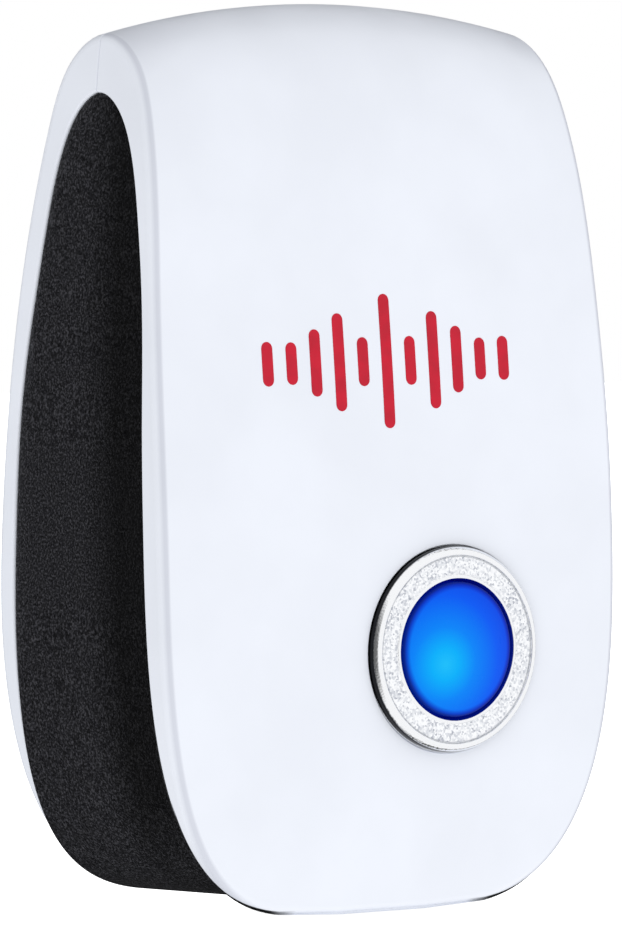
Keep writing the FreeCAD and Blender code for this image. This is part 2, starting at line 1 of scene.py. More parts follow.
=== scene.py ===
import json
import math

import bmesh
import bpy
import numpy as np
from mathutils import Matrix, Vector
from mathutils.geometry import delaunay_2d_cdt


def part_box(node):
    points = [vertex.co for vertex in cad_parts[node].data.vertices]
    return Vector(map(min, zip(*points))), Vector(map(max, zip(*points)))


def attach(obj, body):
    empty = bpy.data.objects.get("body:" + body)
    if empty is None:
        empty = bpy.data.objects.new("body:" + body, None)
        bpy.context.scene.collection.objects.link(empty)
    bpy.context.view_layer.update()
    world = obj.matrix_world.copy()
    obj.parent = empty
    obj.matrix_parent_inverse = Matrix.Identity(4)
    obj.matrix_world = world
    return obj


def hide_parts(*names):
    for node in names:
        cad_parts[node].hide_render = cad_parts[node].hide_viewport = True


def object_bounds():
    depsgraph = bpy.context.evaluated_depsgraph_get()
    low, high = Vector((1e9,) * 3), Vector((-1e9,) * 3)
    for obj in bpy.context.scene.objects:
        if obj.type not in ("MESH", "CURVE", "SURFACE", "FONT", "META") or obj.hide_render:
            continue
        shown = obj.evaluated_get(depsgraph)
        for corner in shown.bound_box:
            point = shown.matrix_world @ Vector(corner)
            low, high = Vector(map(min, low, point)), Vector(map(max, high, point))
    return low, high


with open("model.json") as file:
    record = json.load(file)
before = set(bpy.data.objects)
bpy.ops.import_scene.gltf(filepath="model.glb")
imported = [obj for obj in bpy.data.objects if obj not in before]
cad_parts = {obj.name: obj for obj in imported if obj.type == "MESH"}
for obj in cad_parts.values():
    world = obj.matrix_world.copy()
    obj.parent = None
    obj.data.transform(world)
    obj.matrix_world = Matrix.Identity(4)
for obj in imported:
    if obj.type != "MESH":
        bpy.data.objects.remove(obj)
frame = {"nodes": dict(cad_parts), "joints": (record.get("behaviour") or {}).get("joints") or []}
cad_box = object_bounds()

# A plug-in ultrasonic pest repeller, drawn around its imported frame.
#
# The casing is worked out in millimetres in a drawing frame: x to the right seen from the
# front, y from the seam plane between the covers towards the wall, z up from the lowest
# point. to_frame() takes those places to the part's own frame in metres.

MM = 0.001
SEAM_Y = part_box("front_cover")[1][1]
BOTTOM_Z = cad_box[0][2]

# ---- Casing form, in millimetres --------------------------------------------------
#
# A form is an outline seen from the front: how far its sides are set in, the height of
# its flat bottom, half the width of that flat and the power of its corner curve.

HEIGHT = (cad_box[1][2] - cad_box[0][2]) / MM
HALF_WIDTH = cad_box[1][0] / MM
WIDEST_Z = 46.0
SIDE_RADIUS = 413.0
FRONT_FORM = (0.0, 0.0, 5.9, 3.2)
REAR_FORM = (0.0, 2.35, 5.1, 3.3)
BAND_FORM = (0.3, 1.95, 5.1, 3.55)
CROWN_RADIUS = 120.0
FACE_ROUND = 1.2
WALL = 2.0
FRONT_PROFILE = [
    (2.8, 6.3), (10.2, 10.1), (29, 12.9), (46, 14.1), (63, 14.4), (79, 13.8), (94, 12.3), (104, 10.7)]
REAR_PROFILE = [
    (2.8, 5.9), (10.2, 9.4), (29, 13.6), (46, 16.0), (63, 17.5), (79, 17.3), (94, 16.5), (104, 15.5)]
BAND_OUTLINE = [
    (-10.75, 55.0), (-10.7, 64.0), (-10.2, 71.0), (-9.05, 78.3), (-6.9, 86.0), (-3.4, 90.8), (-0.2, 92.0),
    (2.4, 91.0), (5.9, 86.25), (8.2, 78.5), (9.85, 70.7), (12.2, 59.0), (13.5, 47.3), (14.35, 35.5),
    (14.7, 23.7), (15.1, 8.0), (15.3, -6.0)]
BAND_THICKNESS = 3.0
BAND_ROUND = 0.2
BAND_PLAY = 0.05
LIP_DEPTH = 2.3
LIP_REACH = 2.0
EDGE_ROUND = 0.3
SEAM_ROUND = 0.24
SLOT_COUNT = 7
SLOT_PITCH = 2.5
SLOT_WIDTH = 1.2
SLOT_FRONT_Y = -2.0
SLOT_REAR_Y = 12.0
PLUG_Z = -BOTTOM_Z / MM
CASE_SCREWS = [(-20.0, 12.0), (20.0, 12.0), (-22.0, 84.0), (22.0, 84.0)]
SCREW_SEAT_Y = 4.0
RECESS_RADIUS = 2.75
SCREW_BORE_RADIUS = 1.25
BOSS_RADIUS = 4.0
BOSS_Y = 0.5
PLUG_SEAT_Y = 12.0

# Button: depth d is counted inwards along its own axis from the front face
BUTTON_X = 8.1
BUTTON_Z = 29.15
PRESS_AXIS = np.array(frame["joints"][0]["axis"])
LENS_RADIUS = 7.6
LENS_DOME_D = -2.1
LENS_RIM_D = -1.05
LENS_WALL = 1.2
LENS_FLANGE_D = 4.6
LENS_FLANGE_RADIUS = 8.9
BEZEL_RADIUS = 11.6
BEZEL_BORE = 7.8
BEZEL_PROUD = 1.2
BEZEL_FACE_D = -0.98
BEZEL_SEAT_D = 0.5
PAD_BACK_D = 2.3
PAD_RADIUS = 11.4
NECK_RADIUS = 9.2
NECK_BORE_RADIUS = 9.3
NECK_D = 4.5


def to_frame(points):
    """Drawing-frame millimetres to row-frame metres."""
    return np.asarray(points, float) * MM + np.array([0.0, SEAM_Y, BOTTOM_Z])


def unit(vectors):
    """The same directions, with a length of one."""
    return vectors / np.maximum(np.linalg.norm(vectors, axis=-1, keepdims=True), 1e-9)


def joined(*parts):
    """Places from their coordinates, each an array or one number for them all."""
    return np.stack(np.broadcast_arrays(*parts), axis=-1)


def run_along(curve):
    """How far along a curve each of its places is."""
    return np.concatenate([[0], np.cumsum(np.linalg.norm(np.diff(curve, axis=0), axis=1))])


def read_off(curve, run, at):
    """Places on a curve, by how far along it they are."""
    return joined(*(np.interp(at, run, row) for row in curve.T))


def evenly(curve, count):
    """The same curve cut into count places at equal distances."""
    run = run_along(curve)
    return read_off(curve, run, np.linspace(0, run[-1], count))


def natural_cubic(points, count):
    """A smooth curve through points, as count places evenly spread along it."""
    points = np.asarray(points, float)
    knots = run_along(points)
    steps = np.linalg.norm(np.diff(points, axis=0), axis=1)
    size = len(points)
    system = np.eye(size)
    target = np.zeros_like(points)
    for k in range(1, size - 1):
        before, after = steps[k - 1], steps[k]
        system[k, k - 1:k + 2] = before, 2 * (before + after), after
        target[k] = 6 * ((points[k + 1] - points[k]) / after - (points[k] - points[k - 1]) / before)
    bend = np.linalg.solve(system, target)
    at = np.linspace(0, knots[-1], count)
    cell = np.clip(np.searchsorted(knots, at, side="right") - 1, 0, size - 2)
    width = steps[cell][:, None]
    left = (at - knots[cell])[:, None]
    right = width - left
    return (
        (bend[cell] * right ** 3 + bend[cell + 1] * left ** 3) / (6 * width)
        + (points[cell] / width - bend[cell] * width / 6) * right
        + (points[cell + 1] / width - bend[cell + 1] * width / 6) * left)


def crown_drop(x):
    return CROWN_RADIUS - np.sqrt(CROWN_RADIUS ** 2 - x ** 2)


def crowned(x, look_y, look_z):
    """A side section's outward direction, tilted by the crown at x."""
    slope = x / np.sqrt(CROWN_RADIUS ** 2 - x ** 2)
    return unit(joined(slope * look_z, look_y, look_z))


def half_width(z, form, inset):
    """Half the outline's width at height z, for the outline moved in by inset."""
    side_inset, low_z, half_flat, power = form
    reach = HALF_WIDTH - side_inset - inset
    side = reach - SIDE_RADIUS + np.sqrt(SIDE_RADIUS ** 2 - (z - WIDEST_Z) ** 2)
    fall = np.clip((WIDEST_Z - z) / (WIDEST_Z - low_z - inset), 0, 1)
    corner = half_flat + (reach - half_flat) * (1 - fall ** power) ** (1 / power)
    return np.where(z > WIDEST_Z, side, corner)


def outline_normal(x, z, form):
    """The outline's outward direction at one of its points, for x of either sign."""
    side_inset, low_z, half_flat, power = form
    reach_x = HALF_WIDTH - side_inset - half_flat
    reach_z = WIDEST_Z - low_z
    along = np.clip((np.abs(x) - half_flat) / reach_x, 0, 1)
    fall = np.clip((WIDEST_Z - z) / reach_z, 0, 1)
    upper = z > WIDEST_Z
    flat = (np.abs(x) <= half_flat) & ~upper
    out_x = np.where(upper, 1.0, along ** (power - 1) / reach_x) * np.sign(x)
    out_z = np.where(upper, (z - WIDEST_Z) / SIDE_RADIUS, -fall ** (power - 1) / reach_z)
    return unit(joined(np.where(flat, 0.0, out_x), 0.0, np.where(flat, -1.0, out_z)))


def half_of(curve, side):
    """The part of a side outline from its top down the front or the rear, as a slice."""
    top = np.argmin(np.where(curve[:, 1] < HEIGHT / 2, np.inf, np.abs(curve[:, 0])))
    return slice(int(top), None, side)


def section_half(side, inset):
    """One half of the side section from the seam plane down: places and outward normals."""
    points = [(-depth, HEIGHT - down) for down, depth in reversed(FRONT_PROFILE)]
    points += [(0.0, HEIGHT)] + [(depth, HEIGHT - down) for down, depth in REAR_PROFILE]
    curve = natural_cubic(points, 6001)
    along = unit(np.gradient(curve, axis=0))
    normal = joined(-along[:, 1], along[:, 0])
    curve = curve - inset * normal
    half = half_of(curve, side)
    return curve[half], normal[half]


def band_edge(side):
    """The band's side outline from its apex down the front or the rear."""
    curve = natural_cubic(BAND_OUTLINE, 2001)
    half = curve[half_of(curve, side)]
    if side < 0:
        half = np.vstack([half, [(half[-1, 0], z) for z in (20.0, BAND_OUTLINE[-1][1])]])
    return evenly(half, 1500)


# ---- Mesh building ----------------------------------------------------------------

class Skin:
    """Gathers faces with a normal of their own at each corner, then welds them."""

    def __init__(self):
        self.points = []
        self.faces = []
        self.normals = []

    def add(self, points, normals, faces):
        """Faces over shared points; each is wound to look the way its normals do."""
        base = len(self.points)
        self.points.extend(points.tolist())
        for face in faces:
            a, b, c = points[face[0]], points[face[1]], points[face[-1]]
            looks = np.cross(b - a, c - a)
            if len(face) == 4:
                looks = np.cross(points[face[2]] - a, points[face[3]] - b)
            if np.dot(looks, normals[list(face)].sum(axis=0)) < 0:
                face = face[::-1]
            self.faces.append([base + index for index in face])
            self.normals.extend(normals[index].tolist() for index in face)

    def grid(self, points, normals, keep=None):
        rows, columns = points.shape[:2]
        faces = []
        for row in range(rows - 1):
            for column in range(columns - 1):
                if keep is None or keep[row, column]:
                    corner = row * columns + column
                    faces.append([corner, corner + 1, corner + columns + 1, corner + columns])
        self.add(points.reshape(-1, 3), normals.reshape(-1, 3), faces)

    def both(self, rows, looks):
        """A grid and its mirror image in the middle plane. Its rows may share their looks."""
        rows = np.array(rows)
        looks = np.broadcast_to(looks, rows.shape)
        for flip in (1.0, -1.0):
            self.grid(rows * [flip, 1.0, 1.0], looks * [flip, 1.0, 1.0])

    def hoop(self, rows, looks):
        """A grid that closes on itself. Its rows may share their looks."""
        rows = np.array(rows)
        looks = np.broadcast_to(looks, rows.shape)
        self.grid(*(np.concatenate([part, part[:, :1]], axis=1) for part in (rows, looks)))

    def add_turned_over(self, inner):
        """Another skin's faces, looking the other way."""
        base = len(self.points)
        self.points.extend(inner.points)
        start = 0
        for face in inner.faces:
            looks = inner.normals[start:start + len(face)]
            start += len(face)
            self.faces.append([base + index for index in reversed(face)])
            self.normals.extend([-value for value in look] for look in reversed(looks))

    def build(self, name, look, body, slot, *nodes):
        """The finished piece, which rides a body and stands for the CAD nodes it replaces."""
        mesh = bpy.data.meshes.new(name)
        mesh.from_pydata([tuple(point) for point in to_frame(self.points)], [], self.faces)
        mesh.attributes.new("look", "FLOAT_VECTOR", "CORNER")
        mesh.attributes["look"].data.foreach_set("vector", np.asarray(self.normals, np.float32).ravel())
        work = bmesh.new()
        work.from_mesh(mesh)
        bmesh.ops.remove_doubles(work, verts=work.verts, dist=3e-6)
        bmesh.ops.dissolve_degenerate(work, dist=1e-6, edges=work.edges)
        work.to_mesh(mesh)
        work.free()
        looks = np.zeros(3 * len(mesh.loops), np.float32)
        mesh.attributes["look"].data.foreach_get("vector", looks)
        mesh.attributes.remove(mesh.attributes["look"])
        mesh.polygons.foreach_set("use_smooth", [True] * len(mesh.polygons))
        mesh.normals_split_custom_set([tuple(way) for way in unit(looks.reshape(-1, 3))])
        mesh.materials.append(look.material)
        piece = bpy.data.objects.new(name, mesh)
        bpy.context.scene.collection.objects.link(piece)
        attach(piece, body)
        if nodes:
            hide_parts(*nodes)


def turn_between(first, second, share):
    """Directions part of the way from one array of unit directions to another."""
    cosine = np.clip((first * second).sum(axis=-1, keepdims=True), -1, 1)
    angle = np.arccos(cosine)
    sine = np.maximum(np.sin(angle), 1e-9)
    return (np.sin((1 - share) * angle) * first + np.sin(share * angle) * second) / sine


def rounding(points, normal, outward, radius, steps):
    """A rounded edge that leaves points along outward: places and normals, row by row."""
    looks = np.array([turn_between(normal, outward, step / steps) for step in range(steps + 1)])
    return points - radius * normal + radius * looks, looks


def face_y(side, places, inset):
    """Where the front or rear face, or a skin below it, is at the (x, z) of some places."""
    section = section_half(side, inset)[0][::-1]
    return np.interp(places[..., 2] + crown_drop(places[..., 0]), section[:, 1], section[:, 0])


# ---- Cover shells -----------------------------------------------------------------

ROWS = 150
COLUMNS = 96
WALL_COLUMNS = 5
FACE_STEPS = 6
ROUND_STEPS = 96
SEAM_PLACES = COLUMNS // 2 + 1 + FACE_STEPS + WALL_COLUMNS
WALL_MATCH_Z = 62.0
CROWN_LOW_Z = 20.0
CROWN_FADE = 50.0
INNER_ROUND = 0.3
OPENING_ROUND = 0.15
OPENING_MARGIN = 1.6
OPENING_GAP = 0.35


class CoverShape:
    """One skin of a cover, outer or inner: its face, its side walls and its edge loop."""

    def __init__(self, side, inset, face_round, seam_round):
        self.side = side
        self.form = FRONT_FORM if side < 0 else REAR_FORM
        self.inset = inset
        self.face_round = face_round
        self.edge = band_edge(side)
        places, looks = section_half(side, inset)
        start = int(np.searchsorted(np.abs(places[:, 0]), seam_round))
        self.level = places[start:, 1]
        self.section = np.column_stack([places[:, 0], looks])[start:]
        self.trace_rim()

    def surface(self, x, z):
        """Places and normals on the face at (x, z)."""
        level = z + crown_drop(x)
        return self.crowned_surface(
            x, z, [np.interp(level, self.level[::-1], row) for row in self.section[::-1].T])

    def crowned_surface(self, x, z, section):
        y, look_y, look_z = section
        return joined(x, self.clear_of_band(y, z), z), crowned(x, look_y, look_z)

    def clear_of_band(self, y, z):
        """Keep an inner skin in front of the band's cut-out, where the wall runs out."""
        if self.inset == 0:
            return y
        limit = np.interp(z, self.edge[::-1, 1], self.edge[::-1, 0])
        return np.where(z < HEIGHT / 2, self.side * np.maximum(self.side * y, self.side * limit), y)

    def trace_rim(self):
        """Where the face meets its edge rounding, evenly spaced from the ridge down."""
        y, look_y, look_z = self.section.T
        _, low_z, corner, _ = self.form
        z = self.level - crown_drop(HALF_WIDTH - 3)
        x = half_width(np.maximum(z, low_z + self.inset), self.form, self.inset)
        for _ in range(30):
            rim = outline_normal(x, z, self.form)
            back = self.inset + self.face_round * (1 - (crowned(x, look_y, look_z) * rim).sum(axis=1))
            z = self.level - crown_drop(x)
            inside = z > low_z + back
            x = np.where(inside, half_width(np.maximum(z, low_z + back), self.form, back), corner)
        last = len(z) if inside.all() else int(np.argmin(inside))
        bottom = low_z + float(back[last - 1])
        end_level = bottom + float(crown_drop(corner))
        end_y = np.interp(end_level, self.level[::-1], y[::-1])
        self.rim = evenly(np.vstack([
            joined(x, y, z, self.level)[:last], [[corner, end_y, bottom, end_level]]]), ROWS)

    def face_grid(self):
        """The face from the ridge down, row by row. The crown fades out towards the foot."""
        rows = []
        across = np.linspace(-1, 1, COLUMNS + 1)
        index = np.arange(len(self.level))
        for x_edge, _, z_edge, level in self.rim:
            lift = min(max((z_edge - CROWN_LOW_Z) / CROWN_FADE, 0), 1)
            lift = lift * lift * (3 - 2 * lift)
            x = x_edge * across
            z = z_edge + lift * (crown_drop(x_edge) - crown_drop(x))
            if lift == 1:
                at = np.interp(-level, -self.level, index)
                rows.append(self.crowned_surface(
                    x, z, [np.interp(at, index, row) for row in self.section.T]))
            else:
                rows.append(self.surface(x, z))
        places, looks = zip(*rows)
        return np.array(places), np.array(looks)


def cut_openings(skin, shape, points, looks, openings):
    """Add the face's grid with openings in it. Each opening is a loop of (x, z) places."""
    keep = np.ones((points.shape[0] - 1, points.shape[1] - 1), bool)
    flat = points[..., [0, 2]]
    for loop in openings:
        low, high = loop.min(axis=0) - OPENING_MARGIN, loop.max(axis=0) + OPENING_MARGIN
        inside = ((flat > low) & (flat < high)).all(axis=-1)
        rows = np.nonzero(inside.any(axis=1))[0]
        columns = np.nonzero(inside.any(axis=0))[0]
        keep[rows[0]:rows[-1], columns[0]:columns[-1]] = False
        block = flat[rows[0]:rows[-1] + 1, columns[0]:columns[-1] + 1]
        border = np.vstack([block[0, :-1], block[:-1, -1], block[-1, :0:-1], block[:0:-1, 0]])
        inner = block[1:-1, 1:-1].reshape(-1, 2)
        centre = loop.mean(axis=0)
        away, reach = np.abs(inner - centre), np.abs(loop - centre)
        if len(loop) < ROUND_STEPS:
            near = (away < reach.max(axis=0) + OPENING_GAP).all(axis=1)
        else:
            near = np.linalg.norm(away, axis=1) < np.linalg.norm(reach, axis=1).max() + OPENING_GAP
        places, faces = fill_between(border, [loop], inner[~near])
        skin.add(*shape.surface(*places.T), faces)
    skin.grid(points, looks, keep)


def fill_between(border, loops, inner):
    """Flat triangles inside a border and outside its loops, through the inner places too."""
    flat = np.vstack([border, *loops, inner])
    edges = []
    start = 0
    for ring in (border, *loops):
        edges += [(start + k, start + (k + 1) % len(ring)) for k in range(len(ring))]
        start += len(ring)
    places, _, faces, *_ = delaunay_2d_cdt([Vector(place) for place in flat], edges, [], 0, 1e-6)
    places = np.array([tuple(place) for place in places])
    wanted = []
    for face in faces:
        middle = places[list(face)].mean(axis=0)
        if inside_loop(middle, border) and not any(inside_loop(middle, loop) for loop in loops):
            wanted.append(list(face))
    return places, wanted


def inside_loop(point, loop):
    """Whether a flat point lies inside a closed loop, by counting crossings."""
    x, y = point
    x1, y1 = loop[:, 0], loop[:, 1]
    x2, y2 = np.roll(x1, -1), np.roll(y1, -1)
    spans = (y1 > y) != (y2 > y)
    cross = x1 + (y - y1) * (x2 - x1) / np.where(y2 == y1, 1e-12, y2 - y1)
    return bool((spans & (x < cross)).sum() % 2)


def round_loop(x, z, radius, count=ROUND_STEPS):
    turn = np.linspace(0, 2 * math.pi, count, endpoint=False)
    return joined(x + radius * np.cos(turn), z + radius * np.sin(turn))


def rounded_rectangle(x, z, width, height, corner, corner_steps=8):
    places = []
    for quarter in range(4):
        middle = math.pi / 4 + quarter * math.pi / 2
        centre_x = x + math.copysign(width / 2 - corner, math.cos(middle))
        centre_z = z + math.copysign(height / 2 - corner, math.sin(middle))
        for step in range(corner_steps + 1):
            turn = (quarter + step / corner_steps) * math.pi / 2
            places.append((centre_x + corner * math.cos(turn), centre_z + corner * math.sin(turn)))
    return np.array(places)


def opening_wall(skin, shape, inner, outline, levels):
    """A rounded edge round an opening, then its wall, level by level, to the inner skin."""
    at, look = shape.surface(*outline.T)
    away = np.roll(outline, 1, axis=0) - np.roll(outline, -1, axis=0)
    places, looks = rounding(at, look, unit(joined(away[:, 1], 0.0, -away[:, 0])), OPENING_ROUND, 4)
    skin.hoop(places, looks)
    before = places[-1]
    rings = [joined(loop[:, 0], y, loop[:, 1]) for loop, y in levels]
    rings.append(inner.surface(*levels[-1][0].T)[0])
    for ring in rings:
        along = np.roll(before, -1, axis=0) - np.roll(before, 1, axis=0)
        skin.hoop([before, ring], unit(-shape.side * np.cross(along, ring - before)))
        before = ring


def side_walls(skin, shape, points, looks, seam_round, edge_round):
    """The rounded face edge and the side wall to the band's cut-out; returns the edge loop.

    The loop holds, station by station, the place where the wall's own edge rounding
    starts, the wall's normal and the direction across the edge."""
    side, edge = shape.side, shape.edge
    half, half_look = (
        np.concatenate([part[:, -1], part[-1, COLUMNS - 1:COLUMNS // 2 - 1:-1]])
        for part in (points, looks))
    rim = outline_normal(half[:, 0], np.maximum(half[:, 2], shape.form[1]), shape.form)
    rounded, rounded_look = rounding(half, half_look, rim, max(shape.face_round, 1e-4), FACE_STEPS)
    skin.both(rounded, rounded_look)
    start = rounded[-1]
    level = start[:ROWS, 2]
    match = int(np.argmin(np.abs(level - WALL_MATCH_Z)))
    run = run_along(edge)
    by_level = np.interp(-level, -edge[:, 1], run)
    drop = run_along(start[:ROWS, 1:])
    goal_run = np.where(np.arange(ROWS) <= match, by_level[match] * drop / drop[match], by_level)
    along = unit(read_off(unit(np.gradient(edge, axis=0)), run, goal_run))
    away = joined(0.0, along[:, 1] * side, -along[:, 0] * side)
    goal = read_off(edge, run, goal_run) - edge_round * away[:, 1:]
    goal[0, 0] = side * seam_round
    steps = np.linspace(0, 1, WALL_COLUMNS + 1)[:, None]
    wall = []
    for row, place in enumerate(start):
        y, z = (place[1:] + steps * (goal[min(row, ROWS - 1)] - place[1:])).T
        if row > match:
            wall.append(joined(place[0], y, place[2]))
        else:
            wall.append(joined(half_width(z, shape.form, shape.inset), y, z))
    wall = np.array(wall)
    wall_look = np.repeat(rim[:, None], WALL_COLUMNS + 1, axis=1)
    skin.both(wall.transpose(1, 0, 2), wall_look.transpose(1, 0, 2))
    seam_across = np.array([0.0, -side, 0.0])
    across = np.tile(seam_across, (len(wall), 1))
    across[:ROWS] = away
    loop = [
        np.concatenate([
            face[0, COLUMNS // 2:], round_rows[1:, 0], flank[0, 1:], flank[:1, -1], flank[:, -1]])
        for face, round_rows, flank in ((points, rounded, wall), (looks, rounded_look, wall_look))]
    loop.append(np.vstack([
        np.tile(seam_across, (SEAM_PLACES, 1)), unit(seam_across + across[0]), across]))
    return loop


def cover(name, side, openings, look):
    """A cover between its outer and inner skins. Each opening is an outline and its levels."""
    skin = Skin()
    outer = CoverShape(side, 0.0, FACE_ROUND, SEAM_ROUND)
    points, looks = outer.face_grid()
    cut_openings(skin, outer, points, looks, [outline for outline, _ in openings])
    loop = side_walls(skin, outer, points, looks, SEAM_ROUND, EDGE_ROUND)
    inner_skin = Skin()
    inner = CoverShape(side, WALL, INNER_ROUND, 0.0)
    points, looks = inner.face_grid()
    cut_openings(inner_skin, inner, points, looks, [levels[-1][0] for _, levels in openings])
    inner_loop = side_walls(inner_skin, inner, points, looks, 0.0, 0.0)
    skin.add_turned_over(inner_skin)
    radius = np.full((len(loop[0]), 1), EDGE_ROUND)
    radius[:SEAM_PLACES] = SEAM_ROUND
    places, edge_looks = rounding(*loop, radius, 4)
    skin.both([*places, inner_loop[0]], [*edge_looks, loop[2]])
    for outline, levels in openings:
        opening_wall(skin, outer, inner, outline, levels)
    skin.build(name, look, "housing", "white_shell", name.replace("_shell", "_cover"))


def front_openings():
    """The bezel's seat and the bore for its neck, through the pad behind it."""
    seat_y, back_y = (button_place(0.0, d)[1] for d in (BEZEL_SEAT_D, PAD_BACK_D))
    outline, *loops = (round_loop(BUTTON_X, BUTTON_Z, radius) for radius in (
        BEZEL_RADIUS + 0.25, BEZEL_RADIUS + 0.1, NECK_BORE_RADIUS, NECK_BORE_RADIUS, PAD_RADIUS))
    return [(outline, list(zip(loops, (seat_y, seat_y, back_y, back_y))))]


def rear_openings():
    """The case screws' recesses, bores and bosses, and the plug base's opening."""
    openings = []
    for x, z in CASE_SCREWS:
        outline, *loops = (round_loop(x, z, radius, 48) for radius in (
            RECESS_RADIUS + 0.15, RECESS_RADIUS, SCREW_BORE_RADIUS, SCREW_BORE_RADIUS, BOSS_RADIUS))
        openings.append((outline, list(zip(loops, (SCREW_SEAT_Y, SCREW_SEAT_Y, BOSS_Y, BOSS_Y)))))
    outline, *loops = (rounded_rectangle(0, PLUG_Z, *size) for size in (
        (32.5, 22.5, 5.2), (32.2, 22.2, 5.1), (42.0, 28.0, 5.0)))
    openings.append((outline, [(loop, PLUG_SEAT_Y) for loop in loops]))
    return openings


# ---- Side band --------------------------------------------------------------------

MATCH_Z = 60.0
UPPER_ROWS = 90
LOWER_ROWS = 130
BOTTOM_ROWS = 10
BOTTOM_REACH = 9.6
BAND_COLUMNS = 24
SLOT_ROUND = 0.12
SLOT_CORNER = 0.3


def bottom_z(x):
    """Height of the band's underside at x."""
    side_inset, low_z, half_flat, power = BAND_FORM
    along = np.clip((np.abs(x) - half_flat) / (HALF_WIDTH - side_inset - half_flat), 0, 1)
    return WIDEST_Z - (WIDEST_Z - low_z) * (1 - along ** power) ** (1 / power)


def band_sides():
    """Places down the band's front and rear edge, from its apex to the bottom's middle,
    with the outline's normal and the direction out of the band at each of them."""
    side_inset, low_z, half_flat, power = BAND_FORM
    turn = np.linspace(math.pi / 2, 0, 3001)
    corner = joined(
        half_flat + (HALF_WIDTH - side_inset - half_flat) * np.sin(turn) ** (2 / power),
        WIDEST_Z - (WIDEST_Z - low_z) * np.cos(turn) ** (2 / power))
    side_z = np.linspace(MATCH_Z, WIDEST_Z, 300)[:-1]
    path = evenly(np.vstack([
        joined(half_width(side_z, BAND_FORM, 0), side_z),
        corner[corner[:, 0] > BOTTOM_REACH]]), LOWER_ROWS)
    flat_x = np.linspace(BOTTOM_REACH, 0, BOTTOM_ROWS)
    path = np.vstack([path[:-1], joined(flat_x, bottom_z(flat_x))])
    sides = []
    for side in (-1, 1):
        edge = band_edge(side)
        upper = evenly(edge[edge[:, 1] >= MATCH_Z], UPPER_ROWS)
        along = unit(np.gradient(upper, axis=0))
        away = np.vstack([
            joined(0.0, -side * along[:, 1], side * along[:, 0]),
            np.tile([0.0, side, 0.0], (len(path) - 1, 1))])
        lower_y = np.interp(-path[:, 1], -edge[:, 1], edge[:, 0])
        places = np.vstack([
            joined(half_width(upper[:, 1], BAND_FORM, 0), *upper.T),
            joined(path[:, 0], lower_y, path[:, 1])[1:]])
        normal = outline_normal(places[:, 0], places[:, 2], BAND_FORM)
        away = unit(away - (away * normal).sum(axis=1, keepdims=True) * normal)
        sides.append((places - (BAND_PLAY + BAND_ROUND) * away, normal, away))
    return sides


def slot_loops(grow):
    middle = (SLOT_FRONT_Y + SLOT_REAR_Y) / 2
    length = SLOT_REAR_Y - SLOT_FRONT_Y
    return [rounded_rectangle(
        SLOT_PITCH * (index - (SLOT_COUNT - 1) / 2), middle, SLOT_WIDTH + 2 * grow,
        length + 2 * grow, SLOT_CORNER + grow, 4) for index in range(SLOT_COUNT)]


def band_bottom(skin, front, rear, depth, loops):
    """The flat underside, or the floor above it, with the slots left open."""
    x, front_y, rear_y = (np.concatenate([half, sign * half[-2::-1]]) for half, sign in (
        (front[:, 0], -1), (front[:, 1], 1), (rear[:, 1], 1)))
    end_y = front_y[0] + np.linspace(0, 1, BAND_COLUMNS + 1) * (rear_y[0] - front_y[0])
    border = np.vstack([
        joined(x, front_y)[:-1], joined(x[-1], end_y[:-1]),
        joined(x, rear_y)[:0:-1], joined(x[0], end_y[:0:-1])])
    places, faces = fill_between(border, loops, np.zeros((0, 2)))
    look = np.tile([0.0, 0.0, 1.0 if depth else -1.0], (len(places), 1))
    skin.add(joined(*places.T, bottom_z(places[:, 0]) + depth), look, faces)


def side_band(look):
    skin = Skin()
    sides = band_sides()
    front, rear = sides[0][0], sides[1][0]
    share = np.linspace(0, 1, BAND_COLUMNS + 1)[None, :, None]
    body_rows = UPPER_ROWS + LOWER_ROWS - 1
    outer = front[:, None] + share * (rear - front)[:, None]
    outer[:UPPER_ROWS, :, 0] = half_width(outer[:UPPER_ROWS, :, 2], BAND_FORM, 0)
    outer_look = outline_normal(outer[..., 0], outer[..., 2], BAND_FORM)
    inner = outer - BAND_THICKNESS * outer_look
    skin.both(outer[:body_rows], outer_look[:body_rows])
    skin.both(inner[:body_rows], -outer_look[:body_rows])
    for side, (start, normal, away) in zip((-1, 1), sides):
        rounded, rounded_look = rounding(start, normal, away, BAND_ROUND, 4)
        skin.both(rounded, rounded_look)
        wall = rounded[-1] - (LIP_DEPTH - BAND_ROUND) * normal
        lip = wall + LIP_REACH * away
        room = np.maximum(side * face_y(side, lip, WALL + 0.1), side * wall[:, 1])
        lip[:, 1] = side * np.minimum(side * lip[:, 1], room)
        lip_back = lip - (BAND_THICKNESS - LIP_DEPTH) * normal
        inside = start - BAND_THICKNESS * normal
        for first, second, strip_look in (
                (rounded[-1], wall, away), (wall, lip, normal), (lip, lip_back, away),
                (lip_back, inside, -normal)):
            skin.both([first, second], strip_look)
    bottom = slice(body_rows - 1, None)
    grown, tight = slot_loops(SLOT_ROUND), slot_loops(0.0)
    band_bottom(skin, front[bottom], rear[bottom], 0, grown)
    band_bottom(skin, inner[bottom, 0], inner[bottom, -1], BAND_THICKNESS, tight)
    for outside, inside in zip(grown, tight):
        place = joined(*outside.T, bottom_z(outside[:, 0]))
        into = unit(joined(*(inside - outside).T, 0.0))
        down = np.tile([0.0, 0.0, -1.0], (len(place), 1))
        rounded, rounded_look = rounding(place, down, into, SLOT_ROUND, 3)
        rounded[-1, :, :2] = inside
        skin.hoop(rounded, rounded_look)
        skin.hoop([rounded[-1], joined(*inside.T, bottom_z(inside[:, 0]) + BAND_THICKNESS)], into)
    skin.build("black_side_band", look, "housing", "black_band", "side_band")


# ---- Button -----------------------------------------------------------------------

